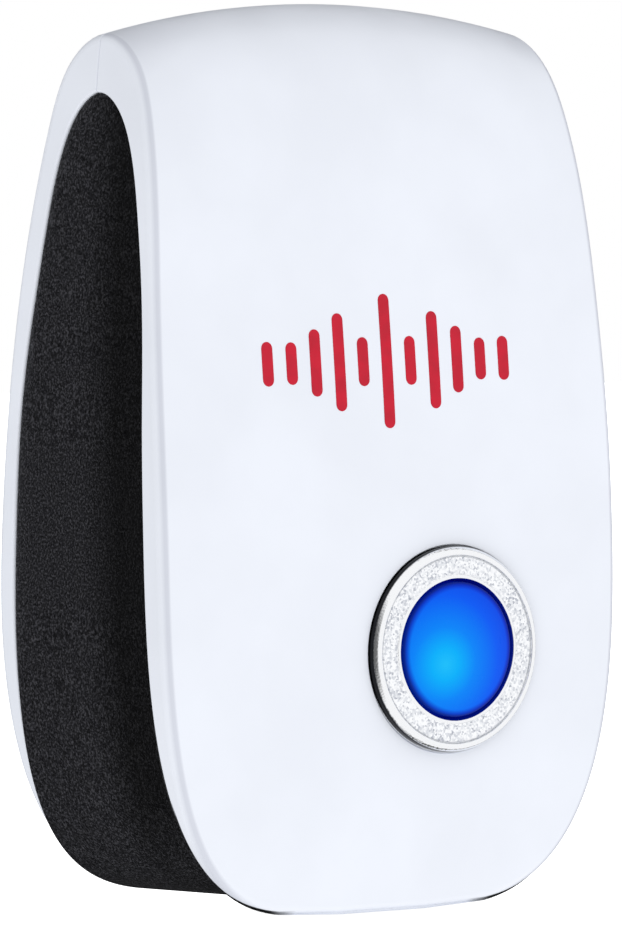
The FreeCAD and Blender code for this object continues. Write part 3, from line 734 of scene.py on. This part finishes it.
BUTTON_CENTRE = np.array([BUTTON_X, 0.0, BUTTON_Z])
BUTTON_CENTRE[1] = face_y(-1, BUTTON_CENTRE, 0.0)
BUTTON_UP = np.array([0.0, -PRESS_AXIS[2], PRESS_AXIS[1]])


def spoke(turn):
    """The direction out from the button's axis at a turn about it."""
    return math.cos(turn) * np.array([1.0, 0.0, 0.0]) + math.sin(turn) * BUTTON_UP


def button_place(radius, d, turn=0.0):
    """A place by its distance from the button's axis, depth d and turn about the axis."""
    return BUTTON_CENTRE + d * PRESS_AXIS + radius * spoke(turn)


def softened(corners, steps=6):
    """A profile of (radius, d, rounding) corners, with each corner rounded."""
    profile = []
    for index, (radius, d, soft) in enumerate(corners):
        here = np.array([radius, d])
        if soft == 0:
            profile.append(here)
            continue
        start, end = (
            here + soft * unit(np.array(corners[near % len(corners)][:2]) - here)
            for near in (index - 1, index + 1))
        for share in np.arange(steps + 1) / steps:
            profile.append((1 - share) ** 2 * start + 2 * share * (1 - share) * here + share ** 2 * end)
    return profile


def lathe(profile, turns):
    """Turn a profile about the button's axis; its solid side is on the right of its path."""
    skin = Skin()
    spokes = np.array([spoke(turn) for turn in np.linspace(0, 2 * math.pi, turns + 1)])
    ends = np.array([profile[0], *profile, profile[-1]])
    for before, first, second, after in zip(ends, ends[1:], ends[2:], ends[3:]):
        if np.allclose(first, second):
            continue
        own = unit(second - first)
        places = []
        looks = []
        for (radius, d), step in ((first, first - before), (second, after - second)):
            other = unit(step) if np.linalg.norm(step) > 1e-9 else own
            along_r, along_d = own + other if np.dot(own, other) > 0.8 else own
            places.append(BUTTON_CENTRE + d * PRESS_AXIS + radius * spokes)
            looks.append(unit(along_r * PRESS_AXIS - along_d * spokes))
        skin.grid(np.array(places), np.array(looks))
    return skin


def bezel(look):
    """A ring with a rounded outer bead, a groove, a flat speckled face and a bright lip."""
    corners = [
        (BEZEL_BORE, NECK_D, 0.2), (BEZEL_BORE, -0.55, 0.2),
        (BEZEL_BORE + 0.2, -BEZEL_PROUD + 0.06, 0.12), (BEZEL_BORE + 0.45, -BEZEL_PROUD + 0.06, 0.12),
        (BEZEL_BORE + 0.6, BEZEL_FACE_D, 0.1), (BEZEL_RADIUS - 1.22, BEZEL_FACE_D, 0.05),
        (BEZEL_RADIUS - 1.1, -0.72, 0.05), (BEZEL_RADIUS - 0.98, -BEZEL_PROUD + 0.02, 0.12),
        (BEZEL_RADIUS - 0.5, -BEZEL_PROUD + 0.02, 0.25), (BEZEL_RADIUS, -0.55, 0.35),
        (BEZEL_RADIUS, BEZEL_SEAT_D, 0.1), (NECK_RADIUS, BEZEL_SEAT_D, 0.0), (NECK_RADIUS, NECK_D, 0.2)]
    profile = softened(corners)
    lathe([*profile, profile[0]], 160).build("bezel_trim", look, "housing", "silver_trim", "bezel_ring")


def lens(look):
    """A hollow domed cap with a flange that keeps it behind the bezel."""
    sag = LENS_RIM_D - LENS_DOME_D
    dome_radius = (LENS_RADIUS ** 2 + sag ** 2) / (2 * sag)
    profile = []
    for radius in np.linspace(0.0, LENS_RADIUS - 0.35, 25):
        profile.append((radius, LENS_DOME_D + dome_radius - math.sqrt(dome_radius ** 2 - radius ** 2)))
    inside, inside_d = LENS_RADIUS - LENS_WALL, LENS_RIM_D + LENS_WALL
    flange_back_d = LENS_FLANGE_D + 1.0
    profile += softened([
        (*profile[-1], 0), (LENS_RADIUS, LENS_RIM_D, 0.25), (LENS_RADIUS, LENS_FLANGE_D, 0)])[1:]
    profile += [
        (LENS_FLANGE_RADIUS, LENS_FLANGE_D), (LENS_FLANGE_RADIUS, flange_back_d),
        (inside, flange_back_d), (inside, inside_d), (0.0, inside_d)]
    lathe(profile, 128).build("lens_dome", look, "button", "blue_lens", "lens_button")


# ---- Printed mark: a packet of upright bars ---------------------------------------

MARK_Z = 61.6
MARK_HEIGHT = 15.0
MARK_BARS = 11
MARK_PITCH = 3.3
MARK_BAR_WIDTH = 1.5
MARK_STEP = 0.8
PRINT_HEIGHT = 0.03


def printed_mark(look):
    skin = Skin()
    shape = CoverShape(-1, 0.0, FACE_ROUND, SEAM_ROUND)
    for index in range(MARK_BARS):
        step = index - (MARK_BARS - 1) / 2
        wave = abs(math.cos(step * math.pi / 2.4)) * math.exp(-(step / 4) ** 2)
        height = max(MARK_HEIGHT * (0.16 + 0.84 * wave), 1.6 * MARK_BAR_WIDTH)
        loop = rounded_rectangle(
            step * MARK_PITCH, MARK_Z, MARK_BAR_WIDTH, height, MARK_BAR_WIDTH / 2 - 0.01)
        loop = evenly(np.vstack([loop, loop[:1]]), 12 + int(8 * height))[:-1]
        rows = np.arange(MARK_STEP - height / 2, height / 2 - MARK_STEP + 0.01, MARK_STEP)
        places, faces = fill_between(loop, [], joined(step * MARK_PITCH, MARK_Z + rows))
        at, up = shape.surface(*places.T)
        skin.add(at + PRINT_HEIGHT * up, up, faces)
        at, up = shape.surface(*loop.T)
        out = loop - loop.mean(axis=0)
        skin.hoop(
            [at + PRINT_HEIGHT * up, at - PRINT_HEIGHT * up], unit(joined(out[:, 0], 0.0, out[:, 1])))
    skin.build("printed_mark", look, "housing", None)


# ---- Materials --------------------------------------------------------------------

class Look:
    """A procedural material. Its sizes are in millimetres of the piece's own surface."""

    def __init__(self, name, colour, roughness, metallic=0.0, **settings):
        self.material = bpy.data.materials.new(name)
        self.material.use_nodes = True
        self.tree = self.material.node_tree
        self.shader = self.tree.nodes["Principled BSDF"]
        self.coordinates = self.tree.nodes.new("ShaderNodeTexCoord").outputs["Object"]
        self.normal = None
        self.colour = colour
        self.put("Base Color", (*colour, 1))
        self.put("Roughness", roughness)
        self.put("Metallic", metallic)
        for socket, value in settings.items():
            self.put(socket.replace("_", " ").title().replace("Ior", "IOR"), value)

    def put(self, socket, value):
        self.shader.inputs[socket].default_value = value

    def link(self, output, node_input):
        self.tree.links.new(output, node_input)

    def noise(self, size, detail=3.0, stretch=None):
        node = self.tree.nodes.new("ShaderNodeTexNoise")
        node.inputs["Scale"].default_value = 1 / (size * MM)
        node.inputs["Detail"].default_value = detail
        self.link(self.stretched(stretch), node.inputs["Vector"])
        return node.outputs["Fac"]

    def cells(self, size, output="Distance", feature="F1", randomness=1.0):
        node = self.tree.nodes.new("ShaderNodeTexVoronoi")
        node.feature = feature
        node.inputs["Scale"].default_value = 1 / (size * MM)
        node.inputs["Randomness"].default_value = randomness
        self.link(self.coordinates, node.inputs["Vector"])
        return node.outputs[output]

    def stretched(self, stretch):
        if stretch is None:
            return self.coordinates
        node = self.tree.nodes.new("ShaderNodeMapping")
        node.inputs["Scale"].default_value = stretch
        self.link(self.coordinates, node.inputs["Vector"])
        return node.outputs["Vector"]

    def span(self, value, low, high, from_low=0.3, from_high=0.7):
        node = self.tree.nodes.new("ShaderNodeMapRange")
        for socket, number in (
                ("From Min", from_low), ("From Max", from_high), ("To Min", low), ("To Max", high)):
            node.inputs[socket].default_value = number
        self.link(value, node.inputs["Value"])
        return node.outputs["Result"]

    def ramp(self, value, *stops):
        node = self.tree.nodes.new("ShaderNodeValToRGB")
        ramp = node.color_ramp
        while len(ramp.elements) < len(stops):
            ramp.elements.new(0.5)
        for element, (place, colour) in zip(ramp.elements, stops):
            element.position = place
            element.color = (*colour, 1)
        self.link(value, node.inputs["Fac"])
        return node.outputs["Color"]

    def axis(self, letter, output="Object"):
        """One axis of the place in the frame, or of the surface's direction."""
        node = self.tree.nodes.new("ShaderNodeSeparateXYZ")
        source = self.coordinates.node.outputs[output]
        self.link(source, node.inputs[0])
        return node.outputs[letter]

    def math(self, operation, first, second):
        node = self.tree.nodes.new("ShaderNodeMath")
        node.operation = operation
        self.link(first, node.inputs[0])
        if isinstance(second, float):
            node.inputs[1].default_value = second
        else:
            self.link(second, node.inputs[1])
        return node.outputs[0]

    def mixed(self, share, first, second, blend="MIX"):
        """Two colours put together by a share, one over the other or multiplied."""
        node = self.tree.nodes.new("ShaderNodeMix")
        node.data_type = "RGBA"
        node.blend_type = blend
        for index, value in ((0, share), (6, first), (7, second)):
            if isinstance(value, float):
                node.inputs[index].default_value = value
            else:
                self.link(value, node.inputs[index])
        return node.outputs[2]

    def tinted(self, colour, amount):
        """A colour multiplied by a grey or another colour."""
        return self.mixed(1.0, colour, amount, "MULTIPLY")

    def far_from(self, place):
        """Distance in metres from a place in the frame."""
        node = self.tree.nodes.new("ShaderNodeVectorMath")
        node.operation = "DISTANCE"
        self.link(self.coordinates, node.inputs[0])
        node.inputs[1].default_value = place
        return node.outputs["Value"]

    def shade(self, value, spread=0.06, low=0.35, high=0.65):
        """Vary the base colour a little, darker and lighter, by a texture."""
        darker = tuple(part * (1 - spread) for part in self.colour)
        lighter = tuple(min(part * (1 + spread), 1.0) for part in self.colour)
        self.link(self.ramp(value, (low, darker), (high, lighter)), self.shader.inputs["Base Color"])
        return self

    def rough(self, value, low, high, from_low=0.3, from_high=0.7):
        self.link(self.span(value, low, high, from_low, from_high), self.shader.inputs["Roughness"])
        return self

    def bump(self, height, depth, strength=1.0):
        node = self.tree.nodes.new("ShaderNodeBump")
        node.inputs["Distance"].default_value = depth * MM
        node.inputs["Strength"].default_value = strength
        self.link(height, node.inputs["Height"])
        if self.normal is not None:
            self.link(self.normal, node.inputs["Normal"])
        self.normal = node.outputs["Normal"]
        self.link(self.normal, self.shader.inputs["Normal"])
        return self


def moulded(name, colour, roughness, grain=0.25, depth=0.004, **settings):
    """Moulded plastic: a faint cloudiness, uneven gloss and a fine surface texture."""
    look = Look(name, colour, roughness, **settings)
    look.shade(look.noise(14.0), 0.02)
    look.rough(look.noise(5.0), roughness * 0.85, roughness * 1.15)
    return look.bump(look.noise(grain, 2.0), depth, 0.5)


def white_plastic(name="white_moulded_shell"):
    return moulded(name, (0.745, 0.775, 0.845), 0.36, 0.5, 0.003)


def front_plastic():
    """The front cover's white, with painted shade: greyer over its rounded edges, and a painted
    shadow line where its lower corners meet the side band."""
    look = white_plastic("white_front_shell")
    plain = look.shader.inputs["Base Color"].links[0].from_socket
    # Painted shade: the base colour turns greyer where the surface faces sideways over the rounded edges.
    sideways = look.math("ABSOLUTE", look.axis("X", "Normal"), 0.0)
    edge = look.ramp(sideways, (0.12, (1, 1, 1)), (0.35, (0.79, 0.79, 0.81)), (0.58, (0.79, 0.79, 0.81)),
                     (0.85, (1, 1, 1)))
    # Painted shadow: a near-black line on the rear rim of the lower corners, where shade falls in the gap
    # against the side band.
    behind = look.span(look.axis("Y"), 0.0, 1.0, SEAM_Y - 11.18 * MM, SEAM_Y - 11.08 * MM)
    low = look.span(look.axis("Z"), 1.0, 0.0, BOTTOM_Z + 12.0 * MM, BOTTOM_Z + 14.0 * MM)
    corner = look.span(look.math("ABSOLUTE", look.axis("X"), 0.0), 0.0, 1.0, 12.0 * MM, 15.5 * MM)
    gap_shadow_zone = look.math("MULTIPLY", look.math("MULTIPLY", behind, low), corner)
    line = look.span(gap_shadow_zone, 1.0, 0.02, 0.0, 1.0)
    look.link(look.tinted(look.tinted(plain, edge), line), look.shader.inputs["Base Color"])
    return look


def black_grain():
    """Black plastic with a pitted, leather-like grain, its bright specks partly painted sheen,
    and painted shade making it darker along its front edge.
    """
    look = Look("black_grained_plastic", (0.016, 0.016, 0.019), 0.42)
    # The grain's tones are the plastic's own; its brightest specks also stand in for sheen, a painted
    # highlight.
    grain = look.ramp(
        look.noise(0.27, 2.0),
        (0.36, (0.0065, 0.0065, 0.0085)), (0.52, (0.0165, 0.0167, 0.021)), (0.66, (0.052, 0.052, 0.061)))
    # Painted shade: the base colour darkens towards the front edge, less so near the foot.
    front = look.span(look.axis("Y"), 0.34, 1.0, SEAM_Y - 5.5 * MM, SEAM_Y + 1.0 * MM)
    foot = look.span(look.axis("Z"), 0.8, 0.0, BOTTOM_Z + 6.0 * MM, BOTTOM_Z + 20.0 * MM)
    look.link(look.tinted(grain, look.math("MAXIMUM", front, foot)), look.shader.inputs["Base Color"])
    look.rough(look.noise(0.9), 0.32, 0.55)
    look.bump(look.cells(0.55, feature="SMOOTH_F1"), 0.10, 0.8)
    return look.bump(look.noise(0.27, 3.0), 0.07, 0.8)


def sparkling_silver():
    """Bright plated trim whose flat face is speckled like glitter."""
    look = Look("silver_glitter_trim", (0.87, 0.88, 0.90), 0.12, metallic=1.0)
    centre = to_frame(button_place(0, -1.0))
    distance = look.far_from(centre)
    radius = look.span(distance, 0.0, 1.0, (BEZEL_BORE + 0.55) * MM, (BEZEL_BORE + 0.65) * MM)
    outside = look.span(distance, 1.0, 0.0, (BEZEL_RADIUS - 1.2) * MM, (BEZEL_RADIUS - 1.1) * MM)
    zone = look.math("MULTIPLY", radius, outside)
    speck = look.ramp(look.cells(0.24, "Color"), (0.05, (0.36, 0.38, 0.44)), (0.35, (0.66, 0.68, 0.72)),
                      (0.65, (0.86, 0.87, 0.89)))
    shadow_line = look.ramp(
        look.span(distance, 0.0, 1.0, 11.0 * MM, 12.0 * MM), (0.46, look.colour), (0.52, (0.02, 0.02, 0.022)))
    look.link(look.mixed(zone, shadow_line, speck), look.shader.inputs["Base Color"])
    look.link(look.span(zone, 0.1, 0.5, 0, 1), look.shader.inputs["Roughness"])
    look.link(look.span(zone, 1.0, 0.15, 0, 1), look.shader.inputs["Metallic"])
    look.bump(look.cells(0.24), 0.04, 0.3)
    return look


def glowing_lens():
    """Blue lens lit from inside: bright where the lamp sits, dark blue at its rim by painted shade."""
    look = Look("blue_glowing_lens", (0.0, 0.01, 0.10), 0.3, specular_ior_level=0.06)
    hot = to_frame(button_place(2.8, LENS_DOME_D + 0.1, math.radians(213)))
    glow = look.ramp(
        look.span(look.far_from(hot), 0.0, 1.0, 0.0, 11 * MM),
        (0.0, (0.012, 0.60, 1.0)), (0.16, (0.0, 0.50, 1.0)), (0.38, (0.0, 0.26, 0.98)),
        (0.7, (0.0, 0.11, 0.93)), (1.0, (0.0, 0.045, 0.75)))
    centre = to_frame(button_place(0, -1.0))
    # Painted shade: the glow darkens to deep blue round the lens's rim.
    rim = look.ramp(
        look.span(look.far_from(centre), 0.0, 1.0, 0.0, LENS_RADIUS * MM),
        (0.0, (1, 1, 1)), (0.89, (1, 1, 1)), (0.945, (0.25, 0.30, 0.62)), (0.985, (0.04, 0.03, 0.18)))
    look.link(look.tinted(glow, rim), look.shader.inputs["Emission Color"])
    look.put("Emission Strength", 0.85)
    look.rough(look.noise(3.0), 0.22, 0.34)
    return look.bump(look.noise(2.2), 0.01, 0.4)


def printed_red():
    look = Look("printed_red", (0.50, 0.002, 0.022), 0.5, specular_ior_level=0.25)
    look.shade(look.noise(1.6), 0.08)
    look.rough(look.noise(0.8), 0.38, 0.55)
    return look.bump(look.noise(0.3), 0.006, 0.5)


def metal(name, colour, roughness, grain=0.6, stretch=(1, 12, 1)):
    """Drawn or stamped metal with fine lines along its length."""
    look = Look(name, colour, roughness, metallic=1.0)
    look.shade(look.noise(5.0), 0.07)
    look.rough(look.noise(grain, 3.0, stretch), roughness * 0.7, roughness * 1.4)
    return look.bump(look.noise(grain, 4.0, stretch), 0.01, 0.4)


def wound_copper():
    """Enamelled wire wound in level turns."""
    look = Look("wound_copper", (0.55, 0.19, 0.06), 0.3, metallic=0.9)
    node = look.tree.nodes.new("ShaderNodeTexWave")
    node.bands_direction = "X"
    node.inputs["Scale"].default_value = 0.35 / MM
    node.inputs["Distortion"].default_value = 0.6
    look.link(look.coordinates, node.inputs["Vector"])
    look.shade(node.outputs["Fac"], 0.4, 0.1, 0.9)
    look.rough(look.noise(1.0), 0.22, 0.4)
    return look.bump(node.outputs["Fac"], 0.12, 0.8)


def board_green():
    """Circuit board: copper tracks showing faintly through green lacquer."""
    look = Look("board_green", (0.01, 0.12, 0.035), 0.32, coat_weight=0.4)
    look.link(look.ramp(look.cells(3.2, feature="DISTANCE_TO_EDGE", randomness=0.6),
                        (0.05, (0.03, 0.22, 0.07)), (0.09, (0.008, 0.10, 0.03))),
              look.shader.inputs["Base Color"])
    look.rough(look.noise(2.0), 0.26, 0.4)
    return look.bump(look.cells(3.2, feature="DISTANCE_TO_EDGE", randomness=0.6), 0.02, 0.4)


def ferrite_grey():
    look = Look("sintered_ferrite", (0.035, 0.034, 0.036), 0.62)
    look.shade(look.noise(1.2), 0.2)
    look.rough(look.noise(0.6), 0.5, 0.75)
    return look.bump(look.noise(0.2, 5.0), 0.03, 0.7)


PIECE_LOOKS = {
    "bezel_clip": lambda: metal("spring_zinc", (0.62, 0.63, 0.66), 0.32),
    "button_stem": lambda: moulded("clear_guide", (0.72, 0.78, 0.85), 0.2, transmission_weight=0.5),
    "tact_switch_plunger": lambda: moulded("switch_black", (0.02, 0.02, 0.022), 0.4),
    "tact_switch_body": lambda: moulded("switch_housing", (0.03, 0.03, 0.033), 0.5, 0.15, 0.01),
    "main_board": board_green,
    "blue_leds": lambda: moulded("lamp_blue", (0.10, 0.35, 0.9), 0.15, transmission_weight=0.3),
    "controller_chip": lambda: moulded("chip_epoxy", (0.022, 0.022, 0.024), 0.55, 0.12, 0.01),
    "chip_resistors": lambda: moulded("resistor_ceramic", (0.06, 0.055, 0.05), 0.45, 0.15, 0.01),
    "chip_capacitors": lambda: moulded("capacitor_ceramic", (0.45, 0.32, 0.19), 0.5, 0.15, 0.01),
    "drive_transistors": lambda: moulded("transistor_epoxy", (0.02, 0.02, 0.022), 0.5, 0.2, 0.01),
    "bridge_rectifier": lambda: moulded("rectifier_epoxy", (0.025, 0.025, 0.028), 0.5, 0.2, 0.01),
    "film_capacitor": lambda: moulded("film_yellow", (0.80, 0.50, 0.05), 0.35, 0.3, 0.01),
    "electrolytic_capacitor": lambda: moulded("capacitor_sleeve", (0.02, 0.05, 0.16), 0.3),
    "fuse_resistor": lambda: moulded("fuse_lacquer", (0.12, 0.24, 0.36), 0.4, 0.3, 0.02),
    "varistor": lambda: moulded("varistor_lacquer", (0.02, 0.12, 0.42), 0.38, 0.5, 0.04),
    "transformer_core": ferrite_grey,
    "transformer_winding": wound_copper,
    "transducer_can": lambda: metal("turned_aluminium", (0.76, 0.77, 0.79), 0.28, 0.5, (1, 1, 14)),
    "transducer_diaphragm": lambda: metal("drawn_aluminium", (0.80, 0.80, 0.81), 0.22),
    "transducer_gasket": lambda: moulded("gasket_rubber", (0.015, 0.015, 0.015), 0.75, 0.3, 0.03),
    "transducer_wires": lambda: moulded("wire_red", (0.45, 0.02, 0.02), 0.4),
    "plug_base": lambda: moulded("plug_white", (0.74, 0.76, 0.79), 0.38, 0.35, 0.008),
    "line_blade": lambda: metal("blade_brass", (0.72, 0.60, 0.36), 0.26, 0.35, (1, 0.08, 1)),
    "line_wire": lambda: moulded("wire_brown", (0.16, 0.07, 0.03), 0.4),
    "neutral_wire": lambda: moulded("wire_blue", (0.03, 0.10, 0.45), 0.4)}
PIECE_LOOKS["neutral_blade"] = PIECE_LOOKS["line_blade"]
for fastener in ("board_screws", "plug_screws", "case_screws"):
    PIECE_LOOKS[fastener] = PIECE_LOOKS["bezel_clip"]


def finish_packed_pieces():
    made = {}
    for name, make in PIECE_LOOKS.items():
        if make not in made:
            made[make] = make().material
        piece = frame["nodes"][name]
        for holder in piece.material_slots:
            holder.material = made[make]
        ease_edges(piece, 0.3 if name == "plug_base" else 0.08)


def ease_edges(piece, width):
    """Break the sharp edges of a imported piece."""
    weld = piece.modifiers.new("weld", "WELD")
    weld.merge_threshold = 0.002 * MM
    bevel = piece.modifiers.new("ease", "BEVEL")
    bevel.width = width * MM
    bevel.segments = 3
    bevel.limit_method = "ANGLE"
    bevel.angle_limit = math.radians(40)
    bevel.use_clamp_overlap = True
    bevel.harden_normals = False


cover("front_shell", -1, front_openings(), front_plastic())
cover("rear_shell", 1, rear_openings(), white_plastic())
side_band(black_grain())
bezel(sparkling_silver())
lens(glowing_lens())
printed_mark(printed_red())
finish_packed_pieces()

# ---- Camera and light -------------------------------------------------------------

CAMERA_AZIMUTH = math.radians(36.84)
CAMERA_ELEVATION = math.radians(1.365)
CAMERA_ROLL = math.radians(1.056)
CAMERA_DISTANCE = 1.031
LENS_FOCAL = 349.1
AIM = Vector((0.00037, SEAM_Y + 0.0012, BOTTOM_Z + 0.0492))


def facing(direction_from, target):
    """A rotation whose -Z axis looks from one place to another."""
    return (target - direction_from).to_track_quat("-Z", "Y").to_matrix().to_4x4()


def add_camera():
    data = bpy.data.cameras.new("camera")
    data.sensor_width = 36
    data.lens = LENS_FOCAL
    data.clip_start = 0.01
    data.clip_end = 20
    camera = bpy.data.objects.new("camera", data)
    bpy.context.scene.collection.objects.link(camera)
    looking = Vector((
        math.sin(CAMERA_AZIMUTH) * math.cos(CAMERA_ELEVATION),
        math.cos(CAMERA_AZIMUTH) * math.cos(CAMERA_ELEVATION),
        -math.sin(CAMERA_ELEVATION)))
    right = Vector((math.cos(CAMERA_AZIMUTH), -math.sin(CAMERA_AZIMUTH), 0))
    up = right.cross(looking)
    turned_right = right * math.cos(CAMERA_ROLL) - up * math.sin(CAMERA_ROLL)
    turned_up = right * math.sin(CAMERA_ROLL) + up * math.cos(CAMERA_ROLL)
    place = AIM - looking * CAMERA_DISTANCE
    axes = Matrix([turned_right, turned_up, -looking]).transposed().to_4x4()
    camera.matrix_world = Matrix.Translation(place) @ axes
    bpy.context.scene.camera = camera


def add_panel(name, azimuth, elevation, distance, width, height, power):
    """A soft light panel aimed at the object, placed by compass angle round it."""
    data = bpy.data.lights.new(name, "AREA")
    data.shape = "RECTANGLE"
    data.size = width
    data.size_y = height
    data.energy = power
    lamp = bpy.data.objects.new(name, data)
    bpy.context.scene.collection.objects.link(lamp)
    turn = math.radians(azimuth)
    lift = math.radians(elevation)
    place = AIM + distance * Vector((
        -math.sin(turn) * math.cos(lift), -math.cos(turn) * math.cos(lift), math.sin(lift)))
    lamp.matrix_world = Matrix.Translation(place) @ facing(place, AIM)
    lamp.visible_glossy = False


def add_floor():
    """A round white studio floor, as bright as the studio round it."""
    look = Look("studio_white", (0.9, 0.9, 0.9), 0.8)
    look.put("Emission Color", (1, 1, 1, 1))
    look.put("Emission Strength", 1.0)
    look.shade(look.noise(300.0), 0.01)
    count = 96
    radius = 4.0
    low = BOTTOM_Z - 0.0005
    turns = [2 * math.pi * k / count for k in range(count)]
    mesh = bpy.data.meshes.new("studio_floor")
    mesh.from_pydata([(radius * math.cos(turn), radius * math.sin(turn), low) for turn in turns], [],
                     [list(range(count))])
    mesh.materials.append(look.material)
    floor = bpy.data.objects.new("studio_floor", mesh)
    bpy.context.scene.collection.objects.link(floor)
    floor.visible_diffuse = False
    floor.visible_glossy = False
    floor.visible_transmission = False


def add_studio_light():
    """An even white studio, dimmer overhead. What shines sees a dark side behind the object."""
    world = bpy.data.worlds.new("studio")
    bpy.context.scene.world = world
    world.use_nodes = True
    tree = world.node_tree

    def node(kind, **inputs):
        made = tree.nodes.new(kind)
        for socket, value in inputs.items():
            made.inputs[socket.replace("_", " ")].default_value = value
        return made

    def link(output, node_input):
        tree.links.new(output, node_input)

    axes = node("ShaderNodeSeparateXYZ")
    link(tree.nodes.new("ShaderNodeTexCoord").outputs["Generated"], axes.inputs[0])
    fall = node("ShaderNodeMapRange", From_Min=0.0, From_Max=1.0, To_Min=1.25, To_Max=0.62)
    link(axes.outputs["Z"], fall.inputs["Value"])
    back = node("ShaderNodeMapRange", From_Min=-0.1, From_Max=0.12, To_Min=1.05, To_Max=0.02)
    back.interpolation_type = "SMOOTHSTEP"
    link(axes.outputs["Y"], back.inputs["Value"])
    left = node("ShaderNodeMapRange", From_Min=-0.9, From_Max=-0.6, To_Min=0.15, To_Max=1.0)
    link(axes.outputs["X"], left.inputs["Value"])
    shine = node("ShaderNodeMath")
    shine.operation = "MULTIPLY"
    link(back.outputs["Result"], shine.inputs[0])
    link(left.outputs["Result"], shine.inputs[1])
    path = tree.nodes.new("ShaderNodeLightPath")
    level = fall.outputs["Result"]
    for ray, value in (("Is Glossy Ray", shine.outputs[0]), ("Is Camera Ray", 1.0)):
        mix = node("ShaderNodeMix")
        link(path.outputs[ray], mix.inputs[0])
        link(level, mix.inputs[2])
        if ray == "Is Camera Ray":
            mix.inputs[3].default_value = value
        else:
            link(value, mix.inputs[3])
        level = mix.outputs[0]
    link(level, tree.nodes["Background"].inputs["Strength"])
    tree.nodes["Background"].inputs["Color"].default_value = (1, 1, 1, 1)


add_camera()
add_floor()
add_panel("key_panel", -25, 20, 0.9, 0.7, 0.9, 0.9)
add_studio_light()
bpy.context.scene.view_settings.view_transform = "Standard"
